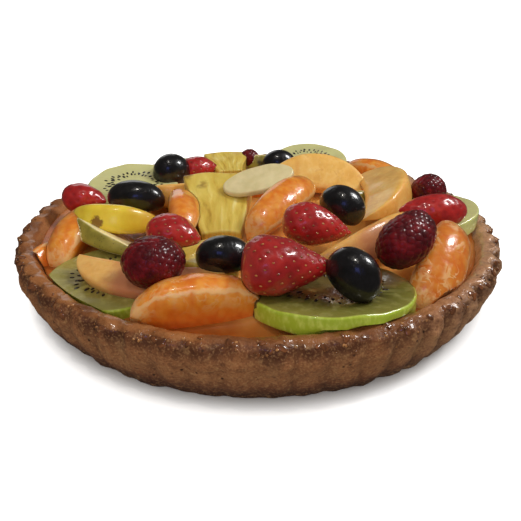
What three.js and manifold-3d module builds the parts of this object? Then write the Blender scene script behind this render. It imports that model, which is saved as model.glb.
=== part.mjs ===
// Fruit tart: a fluted shortcrust shell, a custard filling and the fruit laid on it.
// Millimetres, +Z up, origin at the centre of the underside, front of the tart towards -Y.
import * as THREE from "three";
import { mergeVertices } from "three/addons/utils/BufferGeometryUtils.js";
import Module from "manifold-3d";

const wasm = await Module();
wasm.setup();

// Driving sizes of the shell
const RIM_RADIUS = 100;
const SHELL_HEIGHT = 25;
const FOOT_RADIUS = 92.3;
const BASE_THICK = 5;
const WALL_THICK = 8;
const FLUTES = 60;
const FLUTE_DEPTH = 2.4;
const STEPS_PER_FLUTE = 2;
const RIM_DIP = 0.58; // share of the rim's height above the filling that is lost at the back

// Filling level, how far the fruit sinks into it, and the gap kept between pieces that touch
const FILL_LEVEL = 18.2;
const FILL_CROWN = 0.9;
const SINK = 2.2;
const GAP = 0.3;

// Facets flatter than this are merged; the coarser pressing shapes are this much larger
const FACET = 0.15;
const SAG = 0.6;

// Inner face of the shell, as radius and height
const FLOOR_RADIUS = RIM_RADIUS - WALL_THICK - 6;
const LIP_RADIUS = RIM_RADIUS - WALL_THICK + 0.5;
const CREST_RADIUS = RIM_RADIUS - 3.8;
const LIP_HEIGHT = SHELL_HEIGHT - 0.8;
const WALL_SLOPE = (LIP_RADIUS - FLOOR_RADIUS) / (LIP_HEIGHT - BASE_THICK);
const FILL_RADIUS = FLOOR_RADIUS + WALL_SLOPE * (FILL_LEVEL - BASE_THICK) - GAP - 0.1;

const FINISHES = {
  crust: { color: "#8a5f3c", roughness: 0.55 },
  custard: { color: "#c9822f", roughness: 0.15 },
  kiwi: { color: "#93a04a", roughness: 0.12 },
  mandarin: { color: "#d67a22", roughness: 0.12 },
  peach: { color: "#dca85c", roughness: 0.12 },
  pineapple: { color: "#d6b83e", roughness: 0.15 },
  pear: { color: "#cdbf7c", roughness: 0.15 },
  mango: { color: "#d9b02c", roughness: 0.12 },
  strawberry: { color: "#a8202c", roughness: 0.1 },
  raspberry: { color: "#5c0d1a", roughness: 0.1 },
  grape: { color: "#17161a", roughness: 0.08 },
  plaque: { color: "#ddd0a6", roughness: 0.45 },
};

// Fruit as laid, the topmost first: each piece is pressed into by the ones above it.
// at = centre, turn = yaw, pitch and roll in degrees, size = length, width and height.
const FRUIT = [
  { name: "plaque", at: [0, -4, 39], turn: [4, -14, 22], size: [31, 15.5, 2.6] },
  { name: "raspberry_left", at: [-32.6, -68, 34.2], turn: [20, 0, 0], size: [19.6, 18.6, 16.8] },
  { name: "raspberry_right", at: [48.8, -57.5, 37], turn: [38, -32, 0], size: [22.6, 17, 16.8] },
  { name: "grape_front", at: [29.4, -75.8, 35.4], turn: [-42, 28, 0], size: [18.6, 13.4, 12.8] },
  { name: "strawberry_front", at: [11.4, -71.6, 34.8], turn: [6, 4, 0], size: [34, 20.5, 19], sharp: 1.5 },
  { name: "grape_mid", at: [-11.4, -58.2, 32.9], turn: [6, 0, 0], size: [18.8, 13.5, 10.8] },
  { name: "grape_right_mid", at: [33, -26.5, 37.9], turn: [-35, 18, 0], size: [19, 14.5, 12.2] },
  { name: "strawberry_mid", at: [20.8, -43.6, 35.7], turn: [-8, 10, 0], size: [25, 16, 15], sharp: 0.9 },
  { name: "strawberry_right", at: [68.5, -23.5, 33], turn: [184, -3, 0], size: [27, 14.5, 13.5] },
  { name: "strawberry_mid_left", at: [-31, -38.6, 30.4], turn: [-14, 8, 0], size: [21, 16, 13] },
  { name: "strawberry_left", at: [-76.5, 1, 28.5], turn: [-8, 4, 0], size: [20, 14, 13.5] },
  { name: "grape_left", at: [-52, -5, 33], turn: [-5, 2, 0], size: [25, 15, 12] },
  { name: "grape_back_left", at: [-43, 34, 32], turn: [25, 0, 0], size: [18.5, 16.5, 14.5] },
  { name: "grape_back", at: [11, 49, 31], turn: [5, 0, 0], size: [18, 14, 12] },
  { name: "raspberry_back_right", at: [77, 8, 30], turn: [10, 0, 0], size: [16.5, 15, 14.5] },
  { name: "raspberry_back", at: [-4.5, 57, 30.2], turn: [0, 0, 0], size: [10, 9.5, 9.5] },
  { name: "strawberry_back", at: [-30, 41, 30], turn: [15, 0, 0], size: [19, 14, 12] },
  { name: "mandarin_front", at: [-18.5, -79.2, 24.8], turn: [11, 0, -12], size: [39.5, 17.5, 20.5] },
  { name: "mandarin_right", at: [60.5, -56, 25.8], turn: [58, -26, 40], size: [40, 23, 20.5] },
  { name: "mandarin_center", at: [9.5, -14, 30.5], turn: [52, -12, 22], size: [43, 21, 20] },
  { name: "mandarin_left", at: [-70.8, -28.4, 24.2], turn: [80, -14, -16], size: [36.2, 21, 17] },
  { name: "mandarin_mid_left", at: [-32, -14, 27.5], turn: [100, 0, 20], size: [38, 18, 18] },
  { name: "mango_left", at: [-57.4, -21.8, 27.6], turn: [-6, 0, 60], size: [36.2, 14, 27] },
  { name: "peach_right", at: [54.2, 7, 30], turn: [-97, -3, -72], size: [62, 14, 28] },
  { name: "peach_mid", at: [39.5, -39, 27], turn: [38, -6, 60], size: [56, 14, 21] },
  { name: "peach_back", at: [28, 29, 27], turn: [178, 0, 64], size: [52, 17, 28] },
  { name: "peach_front", at: [-36.8, -62.5, 25.2], turn: [-10, 0, 122], size: [53, 13, 19] },
  { name: "pineapple_center", at: [-16, -9, 28], turn: [5, 0, 17], size: [31, 40, 10] },
  { name: "kiwi_front", at: [22.8, -68.2, 22.2], turn: [0, 0, -8], size: [55, 47, 6.8] },
  { name: "pineapple_mid", at: [-17, -49, 23], turn: [160, 0, 6], size: [28, 24, 10] },
  { name: "pineapple_back", at: [-16, 49, 27.5], turn: [10, 0, 12], size: [24, 20, 9] },
  { name: "pear_left", at: [-60.5, -27, 24.6], turn: [-48, 0, 62], size: [50, 8.5, 24] },
  { name: "pear_right", at: [43, 13, 22], turn: [20, 0, 60], size: [30, 10, 18] },
  { name: "pear_back", at: [1, 60, 27], turn: [0, 0, 75], size: [26, 10, 17] },
  { name: "peach_back_left", at: [-38, 13, 26], turn: [10, 0, 72], size: [38, 12, 20] },
  { name: "kiwi_back_left", at: [-60, 24, 24.5], turn: [20, 0, 14], size: [42, 38, 7] },
  { name: "kiwi_left", at: [-50.5, -57, 19.5], turn: [-40, 0, 0], size: [45, 42, 7] },
  { name: "kiwi_right", at: [73, -6, 22.5], turn: [0, -9, 0], size: [42, 38, 7] },
  { name: "kiwi_back", at: [28, 66, 24], turn: [-15, 0, 10], size: [42, 40, 7] },
  { name: "mandarin_back", at: [0, 24, 23], turn: [12, 0, -24], size: [36, 18, 18] },
  { name: "mandarin_back_right", at: [60, 45, 23.5], turn: [-44, 0, -10], size: [36, 18, 19] },
  { name: "kiwi_back_far", at: [-38, 60, 20], turn: [15, 0, 3], size: [42, 38, 7] },
  { name: "mandarin_left_low", at: [-79, -38.5, 19.5], turn: [66, 0, -55], size: [25, 10, 13] },
];

// A geometry of bare positions with its seams closed
function welded(geometry) {
  const bare = geometry.clone();
  bare.deleteAttribute("normal");
  bare.deleteAttribute("uv");
  return mergeVertices(bare, 1e-4);
}

// A closed geometry made larger all round, each vertex moved out along its normal
function grown(geometry, by) {
  const body = welded(geometry);
  body.computeVertexNormals();
  const at = body.attributes.position;
  const out = body.attributes.normal;
  for (let i = 0; i < at.count; i += 1) {
    at.setX(i, at.getX(i) + by * out.getX(i));
    at.setY(i, at.getY(i) + by * out.getY(i));
    at.setZ(i, at.getZ(i) + by * out.getZ(i));
  }
  return body;
}

// A closed geometry as a solid for joining and cutting
function solidOf(geometry) {
  const merged = welded(geometry);
  const corners = merged.index.array;
  const kept = [];
  for (let i = 0; i < corners.length; i += 3) {
    const [a, b, c] = [corners[i], corners[i + 1], corners[i + 2]];
    if (a !== b && b !== c && a !== c) kept.push(a, b, c);
  }
  const vertProperties = merged.attributes.position.array;
  return new wasm.Manifold(
    new wasm.Mesh({ numProp: 3, vertProperties, triVerts: new Uint32Array(kept) }),
  );
}

// The biggest of the bodies a cut leaves
function biggestBody(solid) {
  const bodies = solid.decompose();
  return bodies.reduce((best, body) => (body.volume() > best.volume() ? body : best));
}

// A solid as a named mesh with its own finish
function meshOf(name, solid, finish) {
  const made = solid.getMesh();
  const geometry = new THREE.BufferGeometry();
  geometry.setAttribute("position", new THREE.BufferAttribute(made.vertProperties, 3));
  geometry.setIndex(new THREE.BufferAttribute(made.triVerts, 1));
  geometry.computeVertexNormals();
  const mesh = new THREE.Mesh(geometry, new THREE.MeshStandardMaterial({ metalness: 0, ...finish }));
  mesh.name = name;
  return mesh;
}

// A profile of radius and height pairs turned about +Z
function turned(profile, segments) {
  const points = profile.map(([r, z]) => new THREE.Vector2(r, z));
  return new THREE.LatheGeometry(points, segments).rotateX(Math.PI / 2);
}

// How deep the groove beside a flute is at an angle: 0 on the ridge, 1 at the bottom of the groove
function grooveAt(angle) {
  const ridge = Math.abs(Math.sin((angle * FLUTES) / 2)) ** 0.7;
  const worn = 0.7 + 0.3 * Math.cos(angle) ** 2;
  return (1 - ridge) * worn;
}

// A height on the shell at an angle: above the filling it sinks from front to back
function dippedTo(height, angle) {
  const over = Math.max(0, height - FILL_LEVEL);
  return height - (over * RIM_DIP * (1 + Math.sin(angle))) / 2;
}

function crustSolid() {
  // Radius, height and share of the flute depth, from the axis below to the axis above
  const rings = [
    [0, 0, 0],
    [FOOT_RADIUS, 0, 0.35],
    [FOOT_RADIUS + 5.2, SHELL_HEIGHT * 0.36, 0.6],
    [RIM_RADIUS, SHELL_HEIGHT * 0.73, 1],
    [RIM_RADIUS - 1.2, SHELL_HEIGHT * 0.92, 0.9],
    [CREST_RADIUS, SHELL_HEIGHT, 0.25],
    [LIP_RADIUS, LIP_HEIGHT, 0],
    [FLOOR_RADIUS, BASE_THICK, 0],
    [0, BASE_THICK, 0],
  ];
  const around = FLUTES * STEPS_PER_FLUTE;
  const geometry = turned(rings, around);
  const at = geometry.attributes.position;
  for (let i = 0; i < at.count; i += 1) {
    const [radius, height, share] = rings[i % rings.length];
    const angle = Math.atan2(at.getY(i), at.getX(i));
    const reach = radius - FLUTE_DEPTH * share * grooveAt(angle);
    at.setXYZ(i, reach * Math.cos(angle), reach * Math.sin(angle), dippedTo(height, angle));
  }
  return solidOf(geometry).simplify(1.6 * FACET);
}

// The room inside the shell, a gap clear of its wall and open upwards
function roomInside() {
  const clear = GAP + 0.1;
  const lip = FLUTE_DEPTH * 0.25;
  return solidOf(
    turned(
      [
        [0, BASE_THICK + GAP],
        [FLOOR_RADIUS - clear, BASE_THICK + GAP],
        [LIP_RADIUS - clear - lip, LIP_HEIGHT],
        [CREST_RADIUS - lip, SHELL_HEIGHT + clear],
        [RIM_RADIUS, SHELL_HEIGHT + clear],
        [RIM_RADIUS, SHELL_HEIGHT * 3],
        [0, SHELL_HEIGHT * 3],
      ],
      96,
    ),
  );
}

function fillingSolid() {
  return solidOf(
    turned(
      [
        [0, BASE_THICK + GAP],
        [FLOOR_RADIUS - GAP - 0.1, BASE_THICK + GAP],
        [FILL_RADIUS, FILL_LEVEL],
        [FILL_RADIUS * 0.6, FILL_LEVEL + FILL_CROWN * 0.6],
        [0, FILL_LEVEL + FILL_CROWN],
      ],
      32,
    ),
  );
}

// Facets a fruit needs: more on a long one, fewer where it only presses into a neighbour
function detailFor(length, coarse) {
  return (length > 36 ? 3 : 2) - (coarse ? 1 : 0);
}

// A ball of facets with each vertex moved by a rule from its place on the unit ball
function shapedBall(detail, rule) {
  const geometry = new THREE.IcosahedronGeometry(1, detail);
  const at = geometry.attributes.position;
  for (let i = 0; i < at.count; i += 1) {
    const [x, y, z] = rule(at.getX(i), at.getY(i), at.getZ(i));
    at.setXYZ(i, x, y, z);
  }
  return geometry;
}

// Strawberry: broad end at -X, tapering to a tip at +X that is slimmer where sharp is larger
function strawberry([length, width, height], coarse, sharp = 0.7) {
  const blunt = 0.48;
  const widest = blunt / (blunt + sharp);
  const most = widest ** blunt * (1 - widest) ** sharp;
  return shapedBall(detailFor(length * 1.2, coarse), (x, y, z) => {
    const along = Math.min(1, (1 + x) / 2);
    const around = Math.hypot(y, z) || 1;
    const swell = (along ** blunt * (1 - along) ** sharp) / most;
    return [(x * length) / 2, ((y / around) * swell * width) / 2, ((z / around) * swell * height) / 2];
  });
}

// Raspberry: an oval, a little broader towards its open end at -X
function raspberry([length, width, height], coarse) {
  return shapedBall(detailFor(length, coarse), (x, y, z) => {
    const swell = 1 - 0.06 * x;
    return [(x * length) / 2, (y * swell * width) / 2, (z * swell * height) / 2];
  });
}

// Grape half: an oval with a flattened underside
function grape([length, width, height], coarse) {
  const flat = -0.45;
  return shapedBall(detailFor(length, coarse), (x, y, z) => {
    const low = z < flat ? flat + (z - flat) * 0.15 : z;
    return [(x * length) / 2, (y * width) / 2, ((low - 0.23) * height) / 1.53];
  });
}

// Wedge of a round fruit: long in X, core edge at -Z, skin side at +Z, two flat cut faces.
// lift raises its two ends from the core edge.
function wedge([length, width, depth], coarse, { hollow, square, plump, lift }) {
  const spread = Math.asin(Math.min(0.99, width / (2 * depth)));
  return shapedBall(detailFor(length, coarse), (x, y, z) => {
    const taper = Math.max(0, 1 - x * x) ** plump;
    const angle = Math.atan2(y, z);
    const [c, s] = [Math.cos(angle), Math.sin(angle)];
    const corner = (Math.abs(c) ** square + Math.abs(s) ** square) ** (1 / square);
    const outer = depth * taper;
    const inner = depth * hollow * taper ** 1.5;
    const reach = (outer + inner) / 2 + ((outer - inner) / 2) * (c / corner);
    const swing = spread * (s / corner);
    const floor = (depth / 2) * (lift * (1 - taper) - 1);
    return [(x * length) / 2, reach * Math.sin(swing), reach * Math.cos(swing) + floor];
  });
}

// A flat outline given thickness, its edges softened by a small bevel or left crisp at 0
function slice(outline, thick, soften, divisions, coarse) {
  const geometry = new THREE.ExtrudeGeometry(outline, {
    depth: thick - 2 * soften,
    steps: 1,
    bevelEnabled: soften > 0 && !coarse,
    bevelThickness: soften,
    bevelSize: soften,
    bevelOffset: -soften,
    bevelSegments: 1,
    curveSegments: divisions,
  });
  const flat = geometry.translate(0, 0, soften - thick / 2);
  return coarse ? flat.scale(1, 1, thick / (thick - 2 * soften)) : flat;
}

// Round slice of kiwi
function kiwi([length, width, thick], coarse) {
  const outline = new THREE.Shape();
  outline.absellipse(0, 0, length / 2, width / 2, 0, 2 * Math.PI, false, 0);
  return slice(outline, thick, 0, 10, coarse);
}

// Pineapple chunk: part of a ring, its rind side at +Y and its core side at -Y
function pineapple([length, width, thick], coarse) {
  const outer = width * 2;
  const inner = outer - width;
  const spread = Math.asin(Math.min(0.98, length / 2 / outer));
  const [from, to] = [Math.PI / 2 - spread, Math.PI / 2 + spread];
  const outline = new THREE.Shape();
  outline.absarc(0, 0, outer, from, to, false);
  outline.absarc(0, 0, inner, to, from, true);
  return slice(outline, thick, 1, 6, coarse).translate(0, -(outer + inner) / 2, 0);
}

// Oval chocolate plaque
function plaque([length, width, thick], coarse) {
  const outline = new THREE.Shape();
  outline.absellipse(0, 0, length / 2, width / 2, 0, 2 * Math.PI, false, 0);
  return slice(outline, thick, 0.8, 8, coarse);
}

const MAKERS = {
  strawberry,
  raspberry,
  grape,
  kiwi,
  pineapple,
  plaque,
  mandarin: (size, coarse) => wedge(size, coarse, { hollow: 0.08, square: 2.6, plump: 0.36, lift: 0.7 }),
  peach: (size, coarse) => wedge(size, coarse, { hollow: 0.28, square: 6, plump: 0.5, lift: 0.3 }),
  mango: (size, coarse) => wedge(size, coarse, { hollow: 0.2, square: 4, plump: 0.34, lift: 0.3 }),
  pear: (size, coarse) => wedge(size, coarse, { hollow: 0.15, square: 6, plump: 0.5, lift: 0.3 }),
};

// One piece where it lies: its own shape, or the coarser and larger one it presses with
function laid({ name, at, turn, size, sharp }, pressing) {
  const made = MAKERS[name.split("_")[0]](size, pressing, sharp);
  const geometry = pressing ? grown(made, GAP + SAG) : made;
  const [yaw, pitch, roll] = turn.map(THREE.MathUtils.degToRad);
  const spin = new THREE.Quaternion().setFromEuler(new THREE.Euler(roll, pitch, yaw, "ZYX"));
  const place = new THREE.Vector3(...at);
  return solidOf(
    geometry.applyMatrix4(new THREE.Matrix4().compose(place, spin, new THREE.Vector3(1, 1, 1))),
  );
}

// Whether the boxes round two solids meet
function boxesMeet(a, b) {
  const [p, q] = [a.boundingBox(), b.boundingBox()];
  return [0, 1, 2].every((k) => p.min[k] < q.max[k] && q.min[k] < p.max[k]);
}

function buildTart() {
  const tart = new THREE.Group();
  tart.name = "fruit_tart";
  const room = roomInside();
  const above = [];
  let filling = fillingSolid();
  for (const piece of FRUIT) {
    let solid = laid(piece, false).intersect(room).trimByPlane([0, 0, 1], FILL_LEVEL - SINK);
    for (const upper of above) {
      if (boxesMeet(solid, upper)) solid = solid.subtract(upper);
    }
    const kept = biggestBody(solid).simplify(FACET);
    tart.add(meshOf(piece.name, kept, FINISHES[piece.name.split("_")[0]]));
    const presser = laid(piece, true);
    above.push(presser);
    if (boxesMeet(filling, presser)) {
      const hollow = presser.simplify(2 * FACET).trimByPlane([0, 0, 1], FILL_LEVEL - SINK - GAP);
      filling = filling.subtract(hollow);
    }
  }
  tart.add(meshOf("filling", biggestBody(filling).simplify(1.5 * FACET), FINISHES.custard));
  tart.add(meshOf("crust", crustSolid(), FINISHES.crust));
  return tart;
}

export default buildTart();
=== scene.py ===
"""Looks of a glazed fruit tart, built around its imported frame."""

import logging
import math
from dataclasses import dataclass
from enum import Enum

import bmesh
import bpy
import numpy as np
from mathutils import Matrix, Vector
from mathutils.bvhtree import BVHTree


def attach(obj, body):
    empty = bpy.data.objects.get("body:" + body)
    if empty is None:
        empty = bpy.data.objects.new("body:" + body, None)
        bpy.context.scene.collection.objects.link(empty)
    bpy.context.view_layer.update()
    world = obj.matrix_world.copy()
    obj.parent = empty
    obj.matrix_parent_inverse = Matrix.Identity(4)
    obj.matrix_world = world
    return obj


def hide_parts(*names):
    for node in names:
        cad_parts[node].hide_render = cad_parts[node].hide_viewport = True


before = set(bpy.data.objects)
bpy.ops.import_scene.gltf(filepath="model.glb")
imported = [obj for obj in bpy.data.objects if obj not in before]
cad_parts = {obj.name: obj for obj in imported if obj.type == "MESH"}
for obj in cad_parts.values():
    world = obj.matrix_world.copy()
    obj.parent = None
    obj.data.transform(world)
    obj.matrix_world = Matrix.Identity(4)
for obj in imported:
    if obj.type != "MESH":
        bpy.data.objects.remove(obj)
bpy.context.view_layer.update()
LOG = logging.getLogger("fruit_tart")

MM = 0.001
GLAZE_IOR = 1.42
GOLDEN_TURN = math.pi * (3 - math.sqrt(5))

# Driving sizes of the shell, the level of the filling and the gap between pieces, in millimetres
RIM_RADIUS = 100.0
SHELL_HEIGHT = 25.0
FOOT_RADIUS = 92.3
BASE_THICK = 5.0
WALL_THICK = 8.0
RIM_DIP = 0.58
FILL_LEVEL = 18.2
FILL_CROWN = 0.9
SINK = 2.2
GAP = 0.3
CLEAR = GAP + 0.1
FLOOR_RADIUS = RIM_RADIUS - WALL_THICK - 6
LIP_RADIUS = RIM_RADIUS - WALL_THICK + 0.5
CREST_RADIUS = RIM_RADIUS - 3.8
LIP_HEIGHT = SHELL_HEIGHT - 0.8
WALL_SLOPE = (LIP_RADIUS - FLOOR_RADIUS) / (LIP_HEIGHT - BASE_THICK)

Colour = tuple[float, float, float, float]
Triple = tuple[float, float, float]
Faces = list[tuple[int, ...]]
Stops = tuple[tuple[float, Colour], ...]
Spots = tuple[np.ndarray, np.ndarray, np.ndarray]


def tint(red: float, green: float, blue: float) -> Colour:
    """A colour given as display values from 0 to 255, as the linear colour that a shader takes.

    Args:
        red: Red share.
        green: Green share.
        blue: Blue share.

    Returns:
        Linear red, green, blue and full alpha.
    """
    shares = [v / 255 for v in (red, green, blue)]
    linear = [v / 12.92 if v < 0.04045 else ((v + 0.055) / 1.055) ** 2.4 for v in shares]
    return (linear[0], linear[1], linear[2], 1.0)


def dipped(height: np.ndarray, angle: np.ndarray) -> np.ndarray:
    """A height on the shell at an angle: above the filling it sinks from front to back."""
    over = np.maximum(0, height - FILL_LEVEL)
    return height - over * RIM_DIP * (1 + np.sin(angle)) / 2


class Kind(Enum):
    """The kinds of piece that lie on the tart."""

    PLAQUE = "plaque"
    RASPBERRY = "raspberry"
    GRAPE = "grape"
    STRAWBERRY = "strawberry"
    MANDARIN = "mandarin"
    MANGO = "mango"
    PEACH = "peach"
    PINEAPPLE = "pineapple"
    KIWI = "kiwi"
    PEAR = "pear"


class Sock:
    """A shader socket that takes part in Python arithmetic."""

    def __init__(self, shader: "Shader", socket: bpy.types.NodeSocket) -> None:
        """Holds an output socket of a shader's tree."""
        self.shader = shader
        self.socket = socket

    def _math(self, operation: str, left: "Sock | float", right: "Sock | float") -> "Sock":
        """Adds one Math node to the tree."""
        return self.shader.node("ShaderNodeMath", {"operation": operation}, {0: left, 1: right})

    def __add__(self, other: "Sock | float") -> "Sock":
        """self + other."""
        return self._math("ADD", self, other)

    def __radd__(self, other: float) -> "Sock":
        """other + self."""
        return self._math("ADD", other, self)

    def __sub__(self, other: "Sock | float") -> "Sock":
        """self - other."""
        return self._math("SUBTRACT", self, other)

    def __rsub__(self, other: float) -> "Sock":
        """other - self."""
        return self._math("SUBTRACT", other, self)

    def __mul__(self, other: "Sock | float") -> "Sock":
        """self * other."""
        return self._math("MULTIPLY", self, other)

    def __rmul__(self, other: float) -> "Sock":
        """other * self."""
        return self._math("MULTIPLY", other, self)

    def __truediv__(self, other: "Sock | float") -> "Sock":
        """self / other."""
        return self._math("DIVIDE", self, other)

    def __pow__(self, other: float) -> "Sock":
        """self ** other."""
        return self._math("POWER", self, other)

    def at_least(self, other: "Sock | float") -> "Sock":
        """The larger of self and other."""
        return self._math("MAXIMUM", self, other)

    def at_most(self, other: "Sock | float") -> "Sock":
        """The smaller of self and other."""
        return self._math("MINIMUM", self, other)

    def rise(self, low: float, high: float) -> "Sock":
        """A smooth step, which falls where low is the larger.

        Args:
            low: Where the step is 0.
            high: Where the step is 1.

        Returns:
            The step.
        """
        limits = {"Value": self, "From Min": min(low, high), "From Max": max(low, high)}
        up = self.shader.node("ShaderNodeMapRange", {"interpolation_type": "SMOOTHSTEP"}, limits)
        return up if low < high else 1 - up

    def parts(self) -> tuple["Sock", "Sock", "Sock"]:
        """Takes a vector apart.

        Returns:
            Its three numbers.
        """
        first = self.shader.node("ShaderNodeSeparateXYZ", {}, {0: self})
        outputs = first.socket.node.outputs
        return first, Sock(self.shader, outputs[1]), Sock(self.shader, outputs[2])

    def span(self, other: "Sock") -> "Sock":
        """The length of a flat vector of self and other."""
        return (self * self + other * other) ** 0.5

    def scaled(self, by: Triple) -> "Sock":
        """A vector multiplied number by number."""
        settings = {"operation": "MULTIPLY"}
        return self.shader.node("ShaderNodeVectorMath", settings, {0: self, 1: by})


class Shader:
    """A node material with one glossy surface, whose patterns are written as expressions."""

    def __init__(self, name: str, fixed: dict[str, object]) -> None:
        """Makes the material.

        Args:
            name: Name of the material.
            fixed: Values of the surface's sockets that are the same all over.
        """
        self.material = bpy.data.materials.new(name)
        self.material.use_nodes = True
        self.tree = self.material.node_tree
        self.tree.nodes.clear()
        end = self.tree.nodes.new("ShaderNodeOutputMaterial")
        self.surface = self.tree.nodes.new("ShaderNodeBsdfPrincipled")
        self.tree.links.new(self.surface.outputs[0], end.inputs[0])
        for key, value in fixed.items():
            self.surface.inputs[key].default_value = value

    def node(
        self,
        kind: str,
        settings: dict[str, object] | None = None,
        inputs: dict[str | int, object] | None = None,
        output: str | int = 0,
    ) -> Sock:
        """Adds one node of any type.

        Args:
            kind: The node's type.
            settings: Its settings; stops holds a ramp's places and colours.
            inputs: Values or links of its sockets, by name or number.
            output: The output that is wanted.

        Returns:
            That output.
        """
        made = self.tree.nodes.new(kind)
        for key, value in (settings or {}).items():
            if key == "stops":
                while len(made.color_ramp.elements) < len(value):
                    made.color_ramp.elements.new(0.5)
                for element, (place, colour) in zip(made.color_ramp.elements, value):
                    element.position = place
                    element.color = colour
            else:
                setattr(made, key, value)
        for key, value in (inputs or {}).items():
            if isinstance(value, Sock):
                self.tree.links.new(value.socket, made.inputs[key])
            else:
                made.inputs[key].default_value = value
        return Sock(self, made.outputs[output])

    def place(self) -> Sock:
        """The place on the tart, in metres."""
        return self.node("ShaderNodeTexCoord", output="Object")

    def own(self, attribute: str) -> Sock:
        """A vector attribute of the piece, such as its own place in millimetres."""
        return self.node("ShaderNodeAttribute", {"attribute_name": attribute}, output="Vector")

    def noise(self, vector: Sock, scale: float, detail: float = 3, twist: float = 0) -> Sock:
        """Soft noise from 0 to 1."""
        inputs = {"Vector": vector, "Scale": scale, "Detail": detail, "Distortion": twist}
        return self.node("ShaderNodeTexNoise", {}, inputs, "Fac")

    def cells(self, vector: Sock, scale: float, feature: str = "F1") -> Sock:
        """Distances in a pattern of cells."""
        inputs = {"Vector": vector, "Scale": scale}
        return self.node("ShaderNodeTexVoronoi", {"feature": feature}, inputs, "Distance")

    def ramp(self, value: Sock, stops: Stops) -> Sock:
        """A colour read off a row of stops."""
        return self.node("ShaderNodeValToRGB", {"stops": stops}, {"Fac": value}, "Color")

    def blend(self, share: Sock | float, first: Sock | Colour, second: Sock | Colour) -> Sock:
        """first where share is 0 and second where it is 1."""
        settings = {"data_type": "RGBA", "clamp_factor": True}
        return self.node("ShaderNodeMix", settings, {0: share, 6: first, 7: second}, 2)

    def over(self, base: Sock, *layers: tuple[Sock, Sock | Colour]) -> Sock:
        """Lays colours over a base, one after the other.

        Args:
            base: The colour below.
            layers: The share and the colour of each layer.

        Returns:
            The colour that shows.
        """
        for share, colour in layers:
            base = self.blend(share, base, colour)
        return base

    def bump(self, height: Sock, strength: float, depth: float) -> None:
        """Raises the surface by a height from 0 to 1, depth millimetres deep."""
        inputs = {"Strength": strength, "Distance": depth * MM, "Height": height}
        self.feed("Normal", self.node("ShaderNodeBump", {}, inputs))

    def feed(self, socket: str, value: Sock) -> None:
        """Links a pattern to a socket of the surface."""
        self.tree.links.new(value.socket, self.surface.inputs[socket])


@dataclass(frozen=True)
class Finish:
    """A finish: the gloss that is the same all over and a painted pattern."""

    name: str
    roughness: float = 0.35
    coat: float = 1.0
    coat_roughness: float = 0.05
    bleed: float = 0.0
    bleed_depth: float = 2.5
    bleed_tint: Triple = (1.0, 0.4, 0.15)
    shine: float = 0.5

    def material(self) -> bpy.types.Material:
        """Builds the material.

        Returns:
            The finished material.
        """
        shader = Shader(
            self.name,
            {
                "Roughness": self.roughness,
                "Specular IOR Level": self.shine,
                "Coat Weight": self.coat,
                "Coat Roughness": self.coat_roughness,
                "Coat IOR": GLAZE_IOR,
                "Subsurface Weight": self.bleed,
                "Subsurface Radius": self.bleed_tint,
                "Subsurface Scale": self.bleed_depth * MM,
            },
        )
        self.paint(shader)
        return shader.material

    def paint(self, shader: Shader) -> None:
        """Adds the pattern."""
        raise NotImplementedError


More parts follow.
